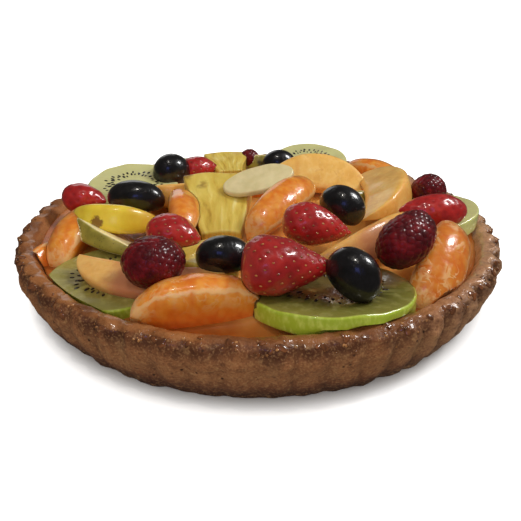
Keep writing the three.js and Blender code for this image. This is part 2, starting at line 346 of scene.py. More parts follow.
class CrustFinish(Finish):
    """Baked shortcrust: dry mottled wall, dark foot, scorch with painted shade under the rim, painted shade
    in the flute grooves, painted light on the right, glazed rim and inside.
    """

    def paint(self, shader: Shader) -> None:
        """Adds the pattern.

        Args:
            shader: The shader that takes it.
        """
        place = shader.place()
        zone, groove, _ = shader.own("form").parts()
        east, north, _ = place.parts()
        patch = shader.noise(place, 55, 4, 0.6)
        drip = shader.noise(place.scaled((1, 1, 0.3)), 120, 5, 0.4)
        grain = shader.noise(place, 480, 4)
        fine = shader.noise(place, 1500, 2)
        stops = (
            (0.0, tint(52, 29, 22)),
            (0.08, tint(76, 43, 31)),
            (0.16, tint(124, 77, 50)),
            (0.26, tint(158, 107, 68)),
            (0.38, tint(154, 102, 64)),
            (0.46, tint(128, 78, 46)),
            (0.5, tint(138, 82, 40)),
            (0.53, tint(160, 92, 40)),
            (0.58, tint(164, 98, 46)),
            (0.8, tint(176, 120, 76)),
        )
        # Scorch marks and painted shade under the overhanging rim, strongest in front
        under = zone.rise(0.55, 0.9) * zone.rise(1.0, 0.965)
        front = north.rise(0.02, -0.05) * (0.35 + east.rise(0.06, 0.0) * 0.65)
        scorch_and_shade = (drip + under * 0.22).rise(0.52, 0.78) * under * (0.25 + front * 0.75)
        # Burnt patches in the flute grooves on the right, partly painted shade in these hollows
        burnt_and_shaded = groove.rise(0.15, 0.6) * zone.rise(0.6, 0.8) * zone.rise(0.98, 0.9) * east.rise(0.04, 0.08)
        # Painted shade in the flute hollows, a little darker on the right
        hollow = groove * zone.rise(1.0, 0.8) * (0.6 + east.rise(0.0, 0.08) * 0.25)
        streak = drip.rise(0.5, 0.7) * zone.rise(0.2, 0.5) * zone.rise(0.9, 0.7)
        dots = shader.cells(place, 330).rise(0.2, 0.08)
        dots = dots * shader.noise(place, 90).rise(0.48, 0.6) * zone.rise(1.0, 0.9)
        edge = (zone + (drip - 0.5) * 0.14).rise(0.955, 0.985) * zone.rise(1.12, 1.0)
        brown = shader.blend(patch.rise(0.4, 0.6), tint(112, 66, 34), tint(156, 102, 58))
        wall = shader.over(
            shader.ramp(zone * 0.5 + (patch - 0.5) * 0.1, stops),
            # Painted light: the right side, outside and on the rim's inner slope, is painted paler where the
            # key light falls
            (east.rise(0.03, 0.09) * 0.6, tint(204, 164, 130)),
            (east.rise(0.0, 0.08) * zone.rise(1.0, 1.1) * 0.85, tint(230, 188, 146)),
            # Scorch and painted shade under the rim
            (scorch_and_shade, tint(78, 42, 24)),
            # Burnt patches and painted shade in the right-hand grooves
            (burnt_and_shaded * patch.rise(0.25, 0.42) * 0.9, tint(74, 44, 28)),
            # Painted shade in the flute hollows
            (hollow, tint(90, 55, 37)),
            (streak * 0.35, tint(188, 140, 92)),
            (grain.rise(0.52, 0.75) * 0.35, tint(190, 146, 96)),
            (grain.rise(0.48, 0.28) * 0.5, tint(84, 50, 33)),
            (fine.rise(0.52, 0.7) * 0.3, tint(196, 152, 104)),
            (fine.rise(0.48, 0.3) * 0.35, tint(70, 42, 28)),
            (east.rise(-0.04, -0.07) * zone.rise(1.04, 1.12) * 0.8, tint(168, 112, 68)),
            (dots * 0.85, tint(36, 21, 16)),
            (edge * east.rise(0.08, 0.03) * 0.75, brown),
        )
        shader.feed("Base Color", wall)
        gloss = east.rise(0.05, 0.09) * zone.rise(0.6, 0.9) * 0.6
        film = drip.rise(0.38, 0.58) * (0.35 + front * 0.55 + east.rise(0.02, 0.07) * 0.65)
        lip = zone.rise(0.99, 1.04) * front * 0.7
        inside = zone.rise(1.1, 1.2) * east.rise(-0.05, 0.03)
        wet = (zone.rise(0.9, 0.98) * film + lip + scorch_and_shade * 0.8 + gloss + inside).at_most(1.0)
        shader.feed("Roughness", 0.66 - wet * 0.3)
        shader.feed("Coat Weight", wet * 0.9)
        shader.bump(grain * 0.5 + fine * 0.3 + drip * 0.4, 0.9, 0.9)


class GelFinish(Finish):
    """Custard seen through a clear amber glaze, duller in the gaps of the heap and painted paler there as
    painted light against their shade.
    """

    def paint(self, shader: Shader) -> None:
        """Adds the pattern.

        Args:
            shader: The shader that takes it.
        """
        place = shader.place()
        east, north, _ = place.parts()
        # Painted light: the gel in the gaps of the heap is painted paler, to lift the shade there
        gaps = east.span(north).rise(0.086, 0.07)
        amber = ((0.25, tint(146, 74, 26)), (0.5, tint(174, 97, 38)), (0.8, tint(198, 130, 64)))
        cloud = shader.ramp(shader.noise(place, 45, 3, 0.5), amber)
        shader.feed("Base Color", shader.blend(gaps * 0.75, cloud, tint(236, 168, 84)))
        shader.feed("Coat Weight", self.coat - gaps * 0.3)
        shader.bump(shader.noise(place, 160, 2), 0.25, 0.5)


class KiwiFinish(Finish):
    """Cut kiwi: pale core, rays between the seeds, green flesh and a brighter side; painted sheen on wet
    patches and on the slices at the back and the right, painted shadow on the front slice.
    """

    def paint(self, shader: Shader) -> None:
        """Adds the pattern.

        Args:
            shader: The shader that takes it.
        """
        across, along, _ = shader.own("form").parts()
        local = shader.own("local")
        east, north, _ = shader.place().parts()
        oval = (across * across * 0.83 + along * along * 1.15) ** 0.5
        safe = oval.at_least(0.02)
        turned = {0: across / safe, 1: along / safe * 1.2, 2: oval * 0.35}
        spoke = shader.node("ShaderNodeCombineXYZ", {}, turned)
        ray = shader.noise(spoke, 6.0, 3)
        cloud = shader.noise(local, 0.22, 3)
        stops = (
            (0.0, tint(172, 164, 100)),
            (0.2, tint(158, 150, 86)),
            (0.33, tint(84, 79, 36)),
            (0.5, tint(66, 62, 26)),
            (0.68, tint(106, 103, 42)),
            (0.95, tint(150, 146, 66)),
        )
        pale = ray.rise(0.5, 0.62) * oval.rise(0.15, 0.3) * oval.rise(0.85, 0.55)
        dark = ray.rise(0.48, 0.38) * oval.rise(0.28, 0.4) * oval.rise(0.75, 0.55)
        # Painted sheen of the wet glaze: pale patches on the outer flesh
        wet = shader.noise(local, 0.4, 4).rise(0.48, 0.7) * oval.rise(0.5, 0.75)
        # Painted shadow of the front strawberry, on the front slice
        front = east.rise(-0.03, -0.01) * north.rise(-0.03, -0.045)
        left = east.rise(-0.03, -0.05) * north.rise(0.0, -0.01)
        # Painted sheen on the slices at the back and the right
        far = (east.rise(0.054, 0.062) * 0.8 + north.rise(0.0, 0.02)).at_most(1.0)
        fleck = shader.noise(local.scaled((1, 1, 0.45)), 0.7, 3)
        side = shader.blend(fleck.rise(0.4, 0.75), tint(164, 184, 52), tint(194, 208, 92))
        flesh = shader.over(
            shader.ramp(oval + (cloud - 0.5) * 0.12, stops),
            (pale * 0.7, tint(170, 166, 98)),
            (dark * 0.6, tint(42, 40, 18)),
            # Painted sheen on the wet patches
            (wet * 0.45, tint(186, 182, 110)),
            # Painted shadow on the front slice
            (front * (0.3 + oval.rise(0.6, 0.3) * 0.55), tint(58, 58, 24)),
            (left * 0.5, tint(156, 144, 72)),
            (across.span(along).rise(0.965, 0.99), side),
            # Painted sheen on the slices at the back and the right
            (far * 0.8, tint(218, 216, 154)),
        )
        shader.feed("Base Color", flesh)
        shader.feed("Coat Weight", self.coat - left * 0.7)
        shader.bump(ray * 0.4 + shader.noise(local, 0.45, 3) * 0.6, 0.55, 0.6)


class MandarinFinish(Finish):
    """Mandarin segment: juicy flesh in a thin skin, pith on its brim and, on some, netted over its back; the
    most netted one takes painted shade.
    """

    def paint(self, shader: Shader) -> None:
        """Adds the pattern.

        Args:
            shader: The shader that takes it.
        """
        local = shader.own("local")
        along, side, reach = shader.own("form").parts()
        netted, _, _ = shader.own("trait").parts()
        juice = shader.noise(local.scaled((1.0, 1.0, 0.5)), 0.22, 3, 0.5)
        film = shader.noise(local, 0.12, 3).rise(0.42, 0.62) * reach.rise(0.2, 0.8)
        sacs = shader.cells(local.scaled((0.8, 0.8, 0.28)), 0.5)
        blur = shader.noise(local, 0.45, 4) - 0.5
        gaps = shader.cells(local.scaled((0.7, 1.0, 1.0)), 0.16, "DISTANCE_TO_EDGE") + blur * 0.34
        vein = shader.noise(local, 0.13, 3, 1.5) - 0.5
        net = gaps.rise(0.12, 0.0).at_least((vein * vein).rise(0.002, 0.0))
        band = net * reach.rise(-0.2, 0.5) * shader.noise(local, 0.14, 2).rise(0.38, 0.55) * netted
        ridge = side + reach + blur * 0.5
        line = ridge.rise(0.2, 0.05) * ridge.rise(-0.2, -0.05) * reach.rise(0.1, 0.4)
        line = line * shader.noise(local, 0.2, 3).rise(0.32, 0.44)
        tip = (along + blur * 0.6).rise(-0.7, -0.9) * shader.noise(local, 0.5, 3).rise(0.35, 0.5)
        pith = (band * 0.85 + line * 0.9 + tip * 0.7).at_most(1.0)
        orange = ((0.25, tint(214, 108, 26)), (0.5, tint(224, 132, 36)), (0.75, tint(232, 160, 62)))
        flesh = shader.over(
            shader.ramp(juice, orange),
            (reach.rise(0.5, -0.6) * 0.65, tint(240, 114, 42)),
            (film * 0.2, tint(238, 168, 74)),
            (sacs.rise(0.6, 0.15) * 0.3, tint(236, 166, 74)),
            (sacs.rise(0.5, 0.85) * 0.3, tint(208, 96, 24)),
            # Painted shade: the most netted segment, the one under the right raspberry, is painted darker
            (netted.rise(0.7, 1.0) * 0.35, tint(176, 84, 30)),
            (pith * 0.72, tint(232, 190, 132)),
        )
        shader.feed("Base Color", flesh)
        shader.feed("Roughness", self.roughness + pith * 0.2)
        shader.bump(juice * 0.3 + shader.noise(local, 0.5, 3) * 0.4 + pith * 0.3 - sacs * 0.4, 0.45, 0.6)


@dataclass(frozen=True)
class PeachFinish(Finish):
    """Peach wedge: pale flesh, deeper orange at stone and skin, and juice stains at places in metres."""

    stains: tuple[tuple[float, float], ...] = ()

    def paint(self, shader: Shader) -> None:
        """Adds the pattern.

        Args:
            shader: The shader that takes it.
        """
        local = shader.own("local")
        _, _, reach = shader.own("form").parts()
        east, north, _ = shader.place().parts()
        cloud = shader.noise(local, 0.16, 3)
        grain = shader.noise(local.scaled((1, 1, 0.3)), 0.8, 3)
        gold = ((0.3, tint(222, 166, 76)), (0.55, tint(236, 188, 98)), (0.8, tint(243, 208, 134)))
        stained = [(east - x).span(north - y) + (cloud - 0.5) * 0.006 for x, y in self.stains]
        flesh = shader.over(
            shader.ramp(cloud, gold),
            (reach.rise(-0.6, -0.98) * 0.6, tint(226, 146, 54)),
            ((reach + (cloud - 0.5) * 0.2).rise(0.84, 0.97) * 0.4, tint(228, 154, 68)),
            (grain.rise(0.5, 0.75) * 0.3, tint(244, 210, 138)),
            (shader.noise(local, 0.3, 4, 1.0).rise(0.56, 0.7) * 0.35, tint(206, 138, 62)),
            # Painted shade: the pieces in front are painted darker and greyer
            (north.rise(-0.04, -0.06) * 0.35, tint(196, 146, 96)),
            *((near.rise(0.021, 0.011) * 0.7, tint(166, 84, 72)) for near in stained),
        )
        shader.feed("Base Color", flesh)
        shader.bump(grain, 0.2, 0.3)


class MangoFinish(Finish):
    """Yellow mango wedge with a bruise."""

    def paint(self, shader: Shader) -> None:
        """Adds the pattern.

        Args:
            shader: The shader that takes it.
        """
        local = shader.own("local")
        along, side, _ = shader.own("form").parts()
        yellow = ((0.3, tint(216, 182, 38)), (0.55, tint(230, 204, 56)), (0.8, tint(238, 216, 100)))
        spot = ((along + 0.1) * (along + 0.1) * 9 + (side + 0.25) * (side + 0.25) * 1.6) ** 0.5
        bruise = (spot + (shader.noise(local, 0.6) - 0.5) * 0.7).rise(0.46, 0.3)
        flesh = shader.over(
            shader.ramp(shader.noise(local, 0.14, 3), yellow),
            (along.rise(0.3, 1.0) * 0.5, tint(206, 138, 50)),
            (bruise * 0.85, tint(112, 62, 26)),
        )
        shader.feed("Base Color", flesh)
        shader.bump(shader.noise(local, 0.5, 3), 0.2, 0.4)


class PearFinish(Finish):
    """Pear wedge: cream flesh and a speckled green skin with one dark spot."""

    def paint(self, shader: Shader) -> None:
        """Adds the pattern.

        Args:
            shader: The shader that takes it.
        """
        local = shader.own("local")
        along, side, reach = shader.own("form").parts()
        grain = shader.noise(local, 0.9, 3)
        flesh = shader.ramp(grain, ((0.3, tint(232, 214, 152)), (0.7, tint(246, 234, 188))))
        spot = (along * along * 10 + side * side * 1.5) ** 0.5
        skin = shader.over(
            shader.ramp(shader.noise(local, 0.2, 4), ((0.3, tint(124, 114, 36)), (0.7, tint(166, 152, 60)))),
            (shader.cells(local, 0.8).rise(0.22, 0.1) * 0.7, tint(78, 70, 28)),
            ((spot + (grain - 0.5) * 0.5).rise(0.5, 0.2) * 0.85, tint(52, 40, 20)),
        )
        shader.feed("Base Color", shader.blend(reach.rise(0.9, 0.975), flesh, skin))
        shader.bump(grain, 0.2, 0.3)


class PineappleFinish(Finish):
    """Pineapple chunk: fibres running out from the core and brown eyes at the rind."""

    def paint(self, shader: Shader) -> None:
        """Adds the pattern.

        Args:
            shader: The shader that takes it.
        """
        local = shader.own("local")
        angle, out, _ = shader.own("form").parts()
        lane = shader.node("ShaderNodeCombineXYZ", {}, {0: angle * 9, 1: out * 0.7, 2: 0.0})
        fibre = shader.noise(lane, 1.6, 4, 0.4)
        stops = (
            (0.28, tint(164, 128, 40)),
            (0.42, tint(204, 174, 70)),
            (0.6, tint(218, 194, 92)),
            (0.75, tint(234, 218, 140)),
        )
        eye = shader.cells(local.scaled((1.0, 0.6, 0.0)), 0.1) + (shader.noise(local, 0.5) - 0.5) * 0.3
        brown = eye.rise(0.36, 0.16) * out.rise(0.2, 0.6) * 0.75
        shader.feed("Base Color", shader.blend(brown, shader.ramp(fibre, stops), tint(124, 86, 32)))
        shader.bump(fibre, 0.6, 1.2)


class StrawberryFinish(Finish):
    """Ripe strawberry skin, with painted shade in the dimples and on the front berry, paler at the broad end.
    """

    def paint(self, shader: Shader) -> None:
        """Adds the pattern.

        Args:
            shader: The shader that takes it.
        """
        local = shader.own("local")
        along, dimple, _ = shader.own("form").parts()
        _, north, _ = shader.place().parts()
        red = ((0.3, tint(146, 18, 22)), (0.55, tint(176, 30, 29)), (0.8, tint(202, 54, 44)))
        skin = shader.over(
            shader.ramp(shader.noise(local, 0.12, 3), red),
            # Painted shade in the seed dimples
            (dimple * 0.5, tint(124, 12, 22)),
            (along.rise(-0.7, -1.0) * 0.3, tint(206, 96, 80)),
            # Painted shade on the berry in front
            (north.rise(-0.05, -0.065) * 0.3, tint(118, 14, 20)),
        )
        shader.feed("Base Color", skin)
        shader.bump(shader.noise(local, 0.3, 3), 0.5, 0.7)


@dataclass(frozen=True)
class CloudFinish(Finish):
    """Clouds of a few shades, over faint relief where it has any: skins, chocolate and small grains."""

    own: bool = False
    scale: float = 500.0
    detail: float = 2.0
    stops: Stops = ()
    relief_scale: float = 0.0
    relief_detail: float = 0.0
    relief: float = 0.0
    relief_depth: float = 0.0

    def paint(self, shader: Shader) -> None:
        """Adds the pattern.

        Args:
            shader: The shader that takes it.
        """
        place = shader.own("local") if self.own else shader.place()
        shader.feed("Base Color", shader.ramp(shader.noise(place, self.scale, self.detail), self.stops))
        if self.relief:
            height = shader.noise(place, self.relief_scale, self.relief_detail)
            shader.bump(height, self.relief, self.relief_depth)


def two_shades(dark: Colour, light: Colour) -> Stops:
    """The stops of a cloud that is half dark and half light."""
    return ((0.35, dark), (0.65, light))


@dataclass(frozen=True)
class Placement:
    """Where one piece lies: centre and size in millimetres, yaw, pitch and roll in degrees.

    Its trait is how sharp the tip of a strawberry is, or how much pith is on a mandarin; a mandarin with the
    most pith is also painted darker, as painted shade.
    """

    name: str
    at: Triple
    turn: Triple
    size: Triple
    trait: float = 0.7

    @property
    def kind(self) -> Kind:
        """The kind of piece, from its name."""
        return Kind(self.name.split("_")[0])

    def spin(self) -> np.ndarray:
        """Works out the turn.

        Returns:
            A 3 by 3 matrix.
        """
        yaw, pitch, roll = (math.radians(v) for v in self.turn)
        about_z = Matrix.Rotation(yaw, 3, "Z")
        return np.array(about_z @ Matrix.Rotation(pitch, 3, "Y") @ Matrix.Rotation(roll, 3, "X"))

    def laid(self, local: np.ndarray) -> np.ndarray:
        """Local points where the piece lies."""
        return local @ self.spin().T + np.array(self.at)


def placements() -> list[Placement]:
    """The pieces as laid, the topmost first.

    Returns:
        One placement for each piece.
    """
    rows = [
        ("plaque", (0, -4, 39), (4, -14, 22), (31, 15.5, 2.6)),
        ("raspberry_left", (-32.6, -68, 34.2), (20, 0, 0), (19.6, 18.6, 16.8)),
        ("raspberry_right", (48.8, -57.5, 37), (38, -32, 0), (22.6, 17, 16.8)),
        ("grape_front", (29.4, -75.8, 35.4), (-42, 28, 0), (18.6, 13.4, 12.8)),
        ("strawberry_front", (11.4, -71.6, 34.8), (6, 4, 0), (34, 20.5, 19), 1.5),
        ("grape_mid", (-11.4, -58.2, 32.9), (6, 0, 0), (18.8, 13.5, 10.8)),
        ("grape_right_mid", (33, -26.5, 37.9), (-35, 18, 0), (19, 14.5, 12.2)),
        ("strawberry_mid", (20.8, -43.6, 35.7), (-8, 10, 0), (25, 16, 15), 0.9),
        ("strawberry_right", (68.5, -23.5, 33), (184, -3, 0), (27, 14.5, 13.5)),
        ("strawberry_mid_left", (-31, -38.6, 30.4), (-14, 8, 0), (21, 16, 13)),
        ("strawberry_left", (-76.5, 1, 28.5), (-8, 4, 0), (20, 14, 13.5)),
        ("grape_left", (-52, -5, 33), (-5, 2, 0), (25, 15, 12)),
        ("grape_back_left", (-43, 34, 32), (25, 0, 0), (18.5, 16.5, 14.5)),
        ("grape_back", (11, 49, 31), (5, 0, 0), (18, 14, 12)),
        ("raspberry_back_right", (77, 8, 30), (10, 0, 0), (16.5, 15, 14.5)),
        ("raspberry_back", (-4.5, 57, 30.2), (0, 0, 0), (10, 9.5, 9.5)),
        ("strawberry_back", (-30, 41, 30), (15, 0, 0), (19, 14, 12)),
        ("mandarin_front", (-18.5, -79.2, 24.8), (11, 0, -12), (39.5, 17.5, 20.5), 0.55),
        ("mandarin_right", (60.5, -56, 25.8), (58, -26, 40), (40, 23, 20.5), 1.0),
        ("mandarin_center", (9.5, -14, 30.5), (52, -12, 22), (43, 21, 20), 0.15),
        ("mandarin_left", (-70.8, -28.4, 24.2), (80, -14, -16), (36.2, 21, 17), 0.35),
        ("mandarin_mid_left", (-32, -14, 27.5), (100, 0, 20), (38, 18, 18), 0.2),
        ("mango_left", (-57.4, -21.8, 27.6), (-6, 0, 60), (36.2, 14, 27)),
        ("peach_right", (54.2, 7, 30), (-97, -3, -72), (62, 14, 28)),
        ("peach_mid", (39.5, -39, 27), (38, -6, 60), (56, 14, 21)),
        ("peach_back", (28, 29, 27), (178, 0, 64), (52, 17, 28)),
        ("peach_front", (-36.8, -62.5, 25.2), (-10, 0, 122), (53, 13, 19)),
        ("pineapple_center", (-16, -9, 28), (5, 0, 17), (31, 40, 10)),
        ("kiwi_front", (22.8, -68.2, 22.2), (0, 0, -8), (55, 47, 6.8)),
        ("pineapple_mid", (-17, -49, 23), (160, 0, 6), (28, 24, 10)),
        ("pineapple_back", (-16, 49, 27.5), (10, 0, 12), (24, 20, 9)),
        ("pear_left", (-60.5, -27, 24.6), (-48, 0, 62), (50, 8.5, 24)),
        ("pear_right", (43, 13, 22), (20, 0, 60), (30, 10, 18)),
        ("pear_back", (1, 60, 27), (0, 0, 75), (26, 10, 17)),
        ("peach_back_left", (-38, 13, 26), (10, 0, 72), (38, 12, 20)),
        ("kiwi_back_left", (-60, 24, 24.5), (20, 0, 14), (42, 38, 7)),
        ("kiwi_left", (-50.5, -57, 19.5), (-40, 0, 0), (45, 42, 7)),
        ("kiwi_right", (73, -6, 22.5), (0, -9, 0), (42, 38, 7)),
        ("kiwi_back", (28, 66, 24), (-15, 0, 10), (42, 40, 7)),
        ("mandarin_back", (0, 24, 23), (12, 0, -24), (36, 18, 18), 0.6),
        ("mandarin_back_right", (60, 45, 23.5), (-44, 0, -10), (36, 18, 19), 0.5),
        ("kiwi_back_far", (-38, 60, 20), (15, 0, 3), (42, 38, 7)),
        ("mandarin_left_low", (-79, -38.5, 19.5), (66, 0, -55), (25, 10, 13), 0.0),
    ]
    return [Placement(*row) for row in rows]


def ripple(points: np.ndarray, wavelength: float, seed: int) -> np.ndarray:
    """Smooth random relief, about -1 to 1, at each point.

    Args:
        points: Rows of x, y and z.
        wavelength: Typical distance between crests.
        seed: Chooses the pattern.

    Returns:
        One height for each point.
    """
    waves, gain = 9, 2.2
    chance = np.random.default_rng(seed)
    ways = chance.normal(size=(waves, 3))
    pace = (2 * math.pi / wavelength) * chance.uniform(0.6, 1.5, (waves, 1))
    ways *= pace / np.linalg.norm(ways, axis=1, keepdims=True)
    phase = chance.uniform(0, 2 * math.pi, waves)
    return np.sin(points @ ways.T + phase).mean(axis=1) * gain


def ring_faces(rings: int, around: int) -> Faces:
    """Faces of a closed surface of rings between two poles.

    Args:
        rings: Number of rings between the poles.
        around: Points in each ring.

    Returns:
        Corner numbers of each face: first the pole, then the rings, then the other pole.
    """
    ahead = [(j + 1) % around for j in range(around)]
    last = 1 + (rings - 1) * around
    faces: Faces = [(0, 1 + ahead[j], 1 + j) for j in range(around)]
    for i in range(rings - 1):
        low, high = 1 + i * around, 1 + (i + 1) * around
        faces += [(low + j, low + ahead[j], high + ahead[j], high + j) for j in range(around)]
    faces += [(last + j, last + ahead[j], last + around) for j in range(around)]
    return faces


def ball_grid(rings: int, around: int) -> np.ndarray:
    """Points of a unit ball in rings about X.

    Args:
        rings: Number of rings between the poles.
        around: Points in each ring.

    Returns:
        Rows of x, y and z: first the pole at -X, then the rings, then the other pole.
    """
    level = np.linspace(0, math.pi, rings + 2)[1:-1, None]
    angle = np.linspace(0, 2 * math.pi, around, endpoint=False)[None, :]
    x = np.repeat(-np.cos(level), around, axis=1)
    body = np.stack([x, np.sin(level) * np.sin(angle), np.sin(level) * np.cos(angle)], axis=2)
    return np.vstack([[[-1, 0, 0]], body.reshape(-1, 3), [[1, 0, 0]]])


def facing_out(points: np.ndarray, faces: Faces) -> Faces:
    """Turns faces round where they enclose a negative volume.

    Args:
        points: Corners.
        faces: Corner numbers of each face.

    Returns:
        The faces, looking outward.
    """
    sides = np.array([face[:3] for face in faces], int).reshape(-1, 3)
    first, second, third = (points[sides[:, k]] for k in range(3))
    volume = np.einsum("ij,ij->i", first, np.cross(second, third)).sum()
    return faces if volume >= 0 else [tuple(reversed(face)) for face in faces]


def mesh_object(
    name: str,
    points: np.ndarray,
    faces: Faces,
    attributes: dict[str, np.ndarray],
    material: bpy.types.Material,
) -> bpy.types.Object:
    """Makes a smooth mesh object in the scene.

    Args:
        name: The object's name.
        points: Corners in millimetres.
        faces: Corner numbers of each face.
        attributes: Vectors to keep at each corner, by name.
        material: Its finish.

    Returns:
        The new object.
    """
    mesh = bpy.data.meshes.new(name)
    mesh.from_pydata((points * MM).tolist(), [], facing_out(points, faces))
    for key, values in attributes.items():
        held = mesh.attributes.new(key, "FLOAT_VECTOR", "POINT")
        held.data.foreach_set("vector", np.ascontiguousarray(values, dtype=np.float32).ravel())
    mesh.polygons.foreach_set("use_smooth", [True] * len(mesh.polygons))
    mesh.materials.append(material)
    made = bpy.data.objects.new(name, mesh)
    bpy.context.scene.collection.objects.link(made)
    return made


def trim_below(piece: bpy.types.Object, level: float) -> None:
    """Cuts a closed piece flat and closes the cut.

    Args:
        piece: The piece.
        level: Height of the cut, in millimetres.
    """
    if min(v.co.z for v in piece.data.vertices) >= level * MM:
        return
    work = bmesh.new()
    work.from_mesh(piece.data)
    everything = work.verts[:] + work.edges[:] + work.faces[:]
    cut = bmesh.ops.bisect_plane(
        work, geom=everything, plane_co=(0, 0, level * MM), plane_no=(0, 0, 1), clear_inner=True
    )
    edges = [e for e in cut["geom_cut"] if isinstance(e, bmesh.types.BMEdge)]
    filled = bmesh.ops.holes_fill(work, edges=edges, sides=0)
    bmesh.ops.triangulate(work, faces=filled["faces"])
    work.to_mesh(piece.data)
    work.free()


def keep_inside(points: np.ndarray) -> np.ndarray:
    """Moves points that would lie in the wall of the shell in to its inner face.

    Args:
        points: Rows of x, y and z, in millimetres.

    Returns:
        The rows, moved where they have to be.
    """
    rounding = 0.6
    away = np.hypot(points[:, 0], points[:, 1])
    height = points[:, 2]
    room = FLOOR_RADIUS - CLEAR + WALL_SLOPE * (height - BASE_THICK)
    over = (height - LIP_HEIGHT) / (SHELL_HEIGHT + CLEAR - LIP_HEIGHT)
    lip = LIP_RADIUS - CLEAR - rounding
    room = np.where(height > LIP_HEIGHT, lip + over * (CREST_RADIUS - rounding - lip), room)
    room = np.where(height > SHELL_HEIGHT + CLEAR, np.inf, room)
    share = np.minimum(1.0, room / np.maximum(away, 1e-6))
    return np.column_stack([points[:, 0] * share, points[:, 1] * share, height])


def corner_values(mesh: bpy.types.Mesh, what: str) -> np.ndarray:
    """Reads a vector at each corner of a mesh.

    Args:
        mesh: The mesh.
        what: Which vector, co or normal.

    Returns:
        One row for each corner.
    """
    held = np.zeros(len(mesh.vertices) * 3, np.float32)
    mesh.vertices.foreach_get(what, held)
    return held.reshape(-1, 3)


def plain_mesh(piece: bpy.types.Object) -> None:
    """Turns what a piece's modifiers give into its own mesh.

    Args:
        piece: The piece.
    """
    bpy.context.view_layer.update()
    graph = bpy.context.evaluated_depsgraph_get()
    made = bpy.data.meshes.new_from_object(piece.evaluated_get(graph), depsgraph=graph)
    made.name = piece.name
    piece.modifiers.clear()
    piece.data = made


@dataclass
class Fruit:
    """A piece of fruit made from a unit ball, pole to pole along its length."""

    place: Placement
    rings: int = 70
    around: int = 88
    wobble: float = 0.3
    wobble_length: float = 13

    def shape(self, x: np.ndarray, y: np.ndarray, z: np.ndarray) -> tuple[np.ndarray, np.ndarray]:
        """Gives local points in millimetres and the form coordinates that the finish reads."""
        raise NotImplementedError

    def grid(self) -> tuple[np.ndarray, np.ndarray, Faces]:
        """Local points, form coordinates and faces."""
        local, form = self.shape(*ball_grid(self.rings, self.around).T)
        return local, form, ring_faces(self.rings, self.around)

    def build(self, material: bpy.types.Material) -> bpy.types.Object:
        """Makes the whole piece where it lies, before its neighbours press into it.

        Args:
            material: Its finish.

        Returns:
            The new object.
        """
        local, form, faces = self.grid()
        seed = sum(map(ord, self.place.name))
        shift = [ripple(local, self.wobble_length, seed + k) * self.wobble for k in range(3)]
        points = keep_inside(self.place.laid(local + np.column_stack(shift)))
        trait = np.full((len(local), 3), self.place.trait)
        kept = {"local": local, "form": form, "trait": trait}
        made = mesh_object(self.place.name, points, faces, kept, material)
        trim_below(made, FILL_LEVEL - SINK)
        return made


@dataclass
class Strawberry(Fruit):
    """Strawberry: broad end at -X, a tip at +X, dimples for its seeds."""

    seed_gap: float = 3.4
    seeded_share: float = 0.9
    seed_rows: tuple[float, float] = (0.94, -0.92)
    dimple: float = 0.3
    dimple_radius: float = 0.85
    blunt: float = 0.48

    def profile(self, x: np.ndarray) -> np.ndarray:
        """Works out how wide the berry is.

        Args:
            x: Places along the length, from -1 to 1.

        Returns:
            Shares of the full width.
        """
        sharp, blunt = self.place.trait, self.blunt
        widest = blunt / (blunt + sharp)
        along = np.clip((1 + x) / 2, 0, 1)
        return along**blunt * (1 - along) ** sharp / (widest**blunt * (1 - widest) ** sharp)

    def seeds(self) -> np.ndarray:
        """Lays the seeds in a spiral.

        Returns:
            Their local places.
        """
        length, width, height = self.place.size
        count = int(self.seeded_share * math.pi * length * width / self.seed_gap**2)
        number = np.arange(count) + 0.5
        first, last = self.seed_rows
        x = first + (last - first) * number / count
        turn = number * GOLDEN_TURN
        half = self.profile(x) / 2
        return np.column_stack([x * length / 2, half * np.sin(turn) * width, half * np.cos(turn) * height])

    def shape(self, x: np.ndarray, y: np.ndarray, z: np.ndarray) -> tuple[np.ndarray, np.ndarray]:
        """Works out the berry.

        Args:
            x: Place along the length, from -1 to 1.
            y: Place across on the unit ball.
            z: Height on the unit ball.

        Returns:
            Local points in millimetres, and form coordinates: the place along it and the dimples.
        """
        length, width, height = self.place.size
        half = self.profile(x) / np.maximum(np.hypot(y, z), 1e-9) / 2
        local = np.column_stack([x * length / 2, y * half * width, z * half * height])
        apart = np.linalg.norm(local[:, None] - self.seeds()[None], axis=2).min(axis=1)
        dent = np.exp(-((apart / self.dimple_radius) ** 2))
        inward = 1 - self.dimple * dent / np.maximum(np.linalg.norm(local[:, 1:], axis=1), 3)
        local[:, 1:] *= inward[:, None]
        return local, np.column_stack([x, dent, np.zeros_like(x)])


@dataclass
class Raspberry(Fruit):
    """Raspberry: an oval that carries drupelets in spiral rows."""

    drupelet: float = 2.7
    packing: float = 0.8
    taper: float = 0.06
    core: float = 0.985

    def shape(self, x: np.ndarray, y: np.ndarray, z: np.ndarray) -> tuple[np.ndarray, np.ndarray]:
        """Works out the berry, without its drupelets.

        Args:
            x: Place along the length, from -1 to 1.
            y: Place across on the unit ball.
            z: Height on the unit ball.

        Returns:
            Local points in millimetres, and form coordinates: the place on the ball.
        """
        length, width, height = self.place.size
        swell = 1 - self.taper * x
        local = np.column_stack([x * length / 2, y * swell * width / 2, z * swell * height / 2])
        return local * self.core, np.column_stack([x, y, z])

    def drupelets(self) -> np.ndarray:
        """Lays the drupelets in a spiral.

        Returns:
            Their local places.
        """
        length, width, height = self.place.size
        mean = (length * width * height) ** (1 / 3)
        count = int(math.pi * mean**2 / (self.packing * self.drupelet**2))
        number = np.arange(count) + 0.5
        x = 1 - 2 * number / count
        reach = np.sqrt(1 - x * x)
        turn = number * GOLDEN_TURN
        return self.shape(x, reach * np.sin(turn), reach * np.cos(turn))[0]


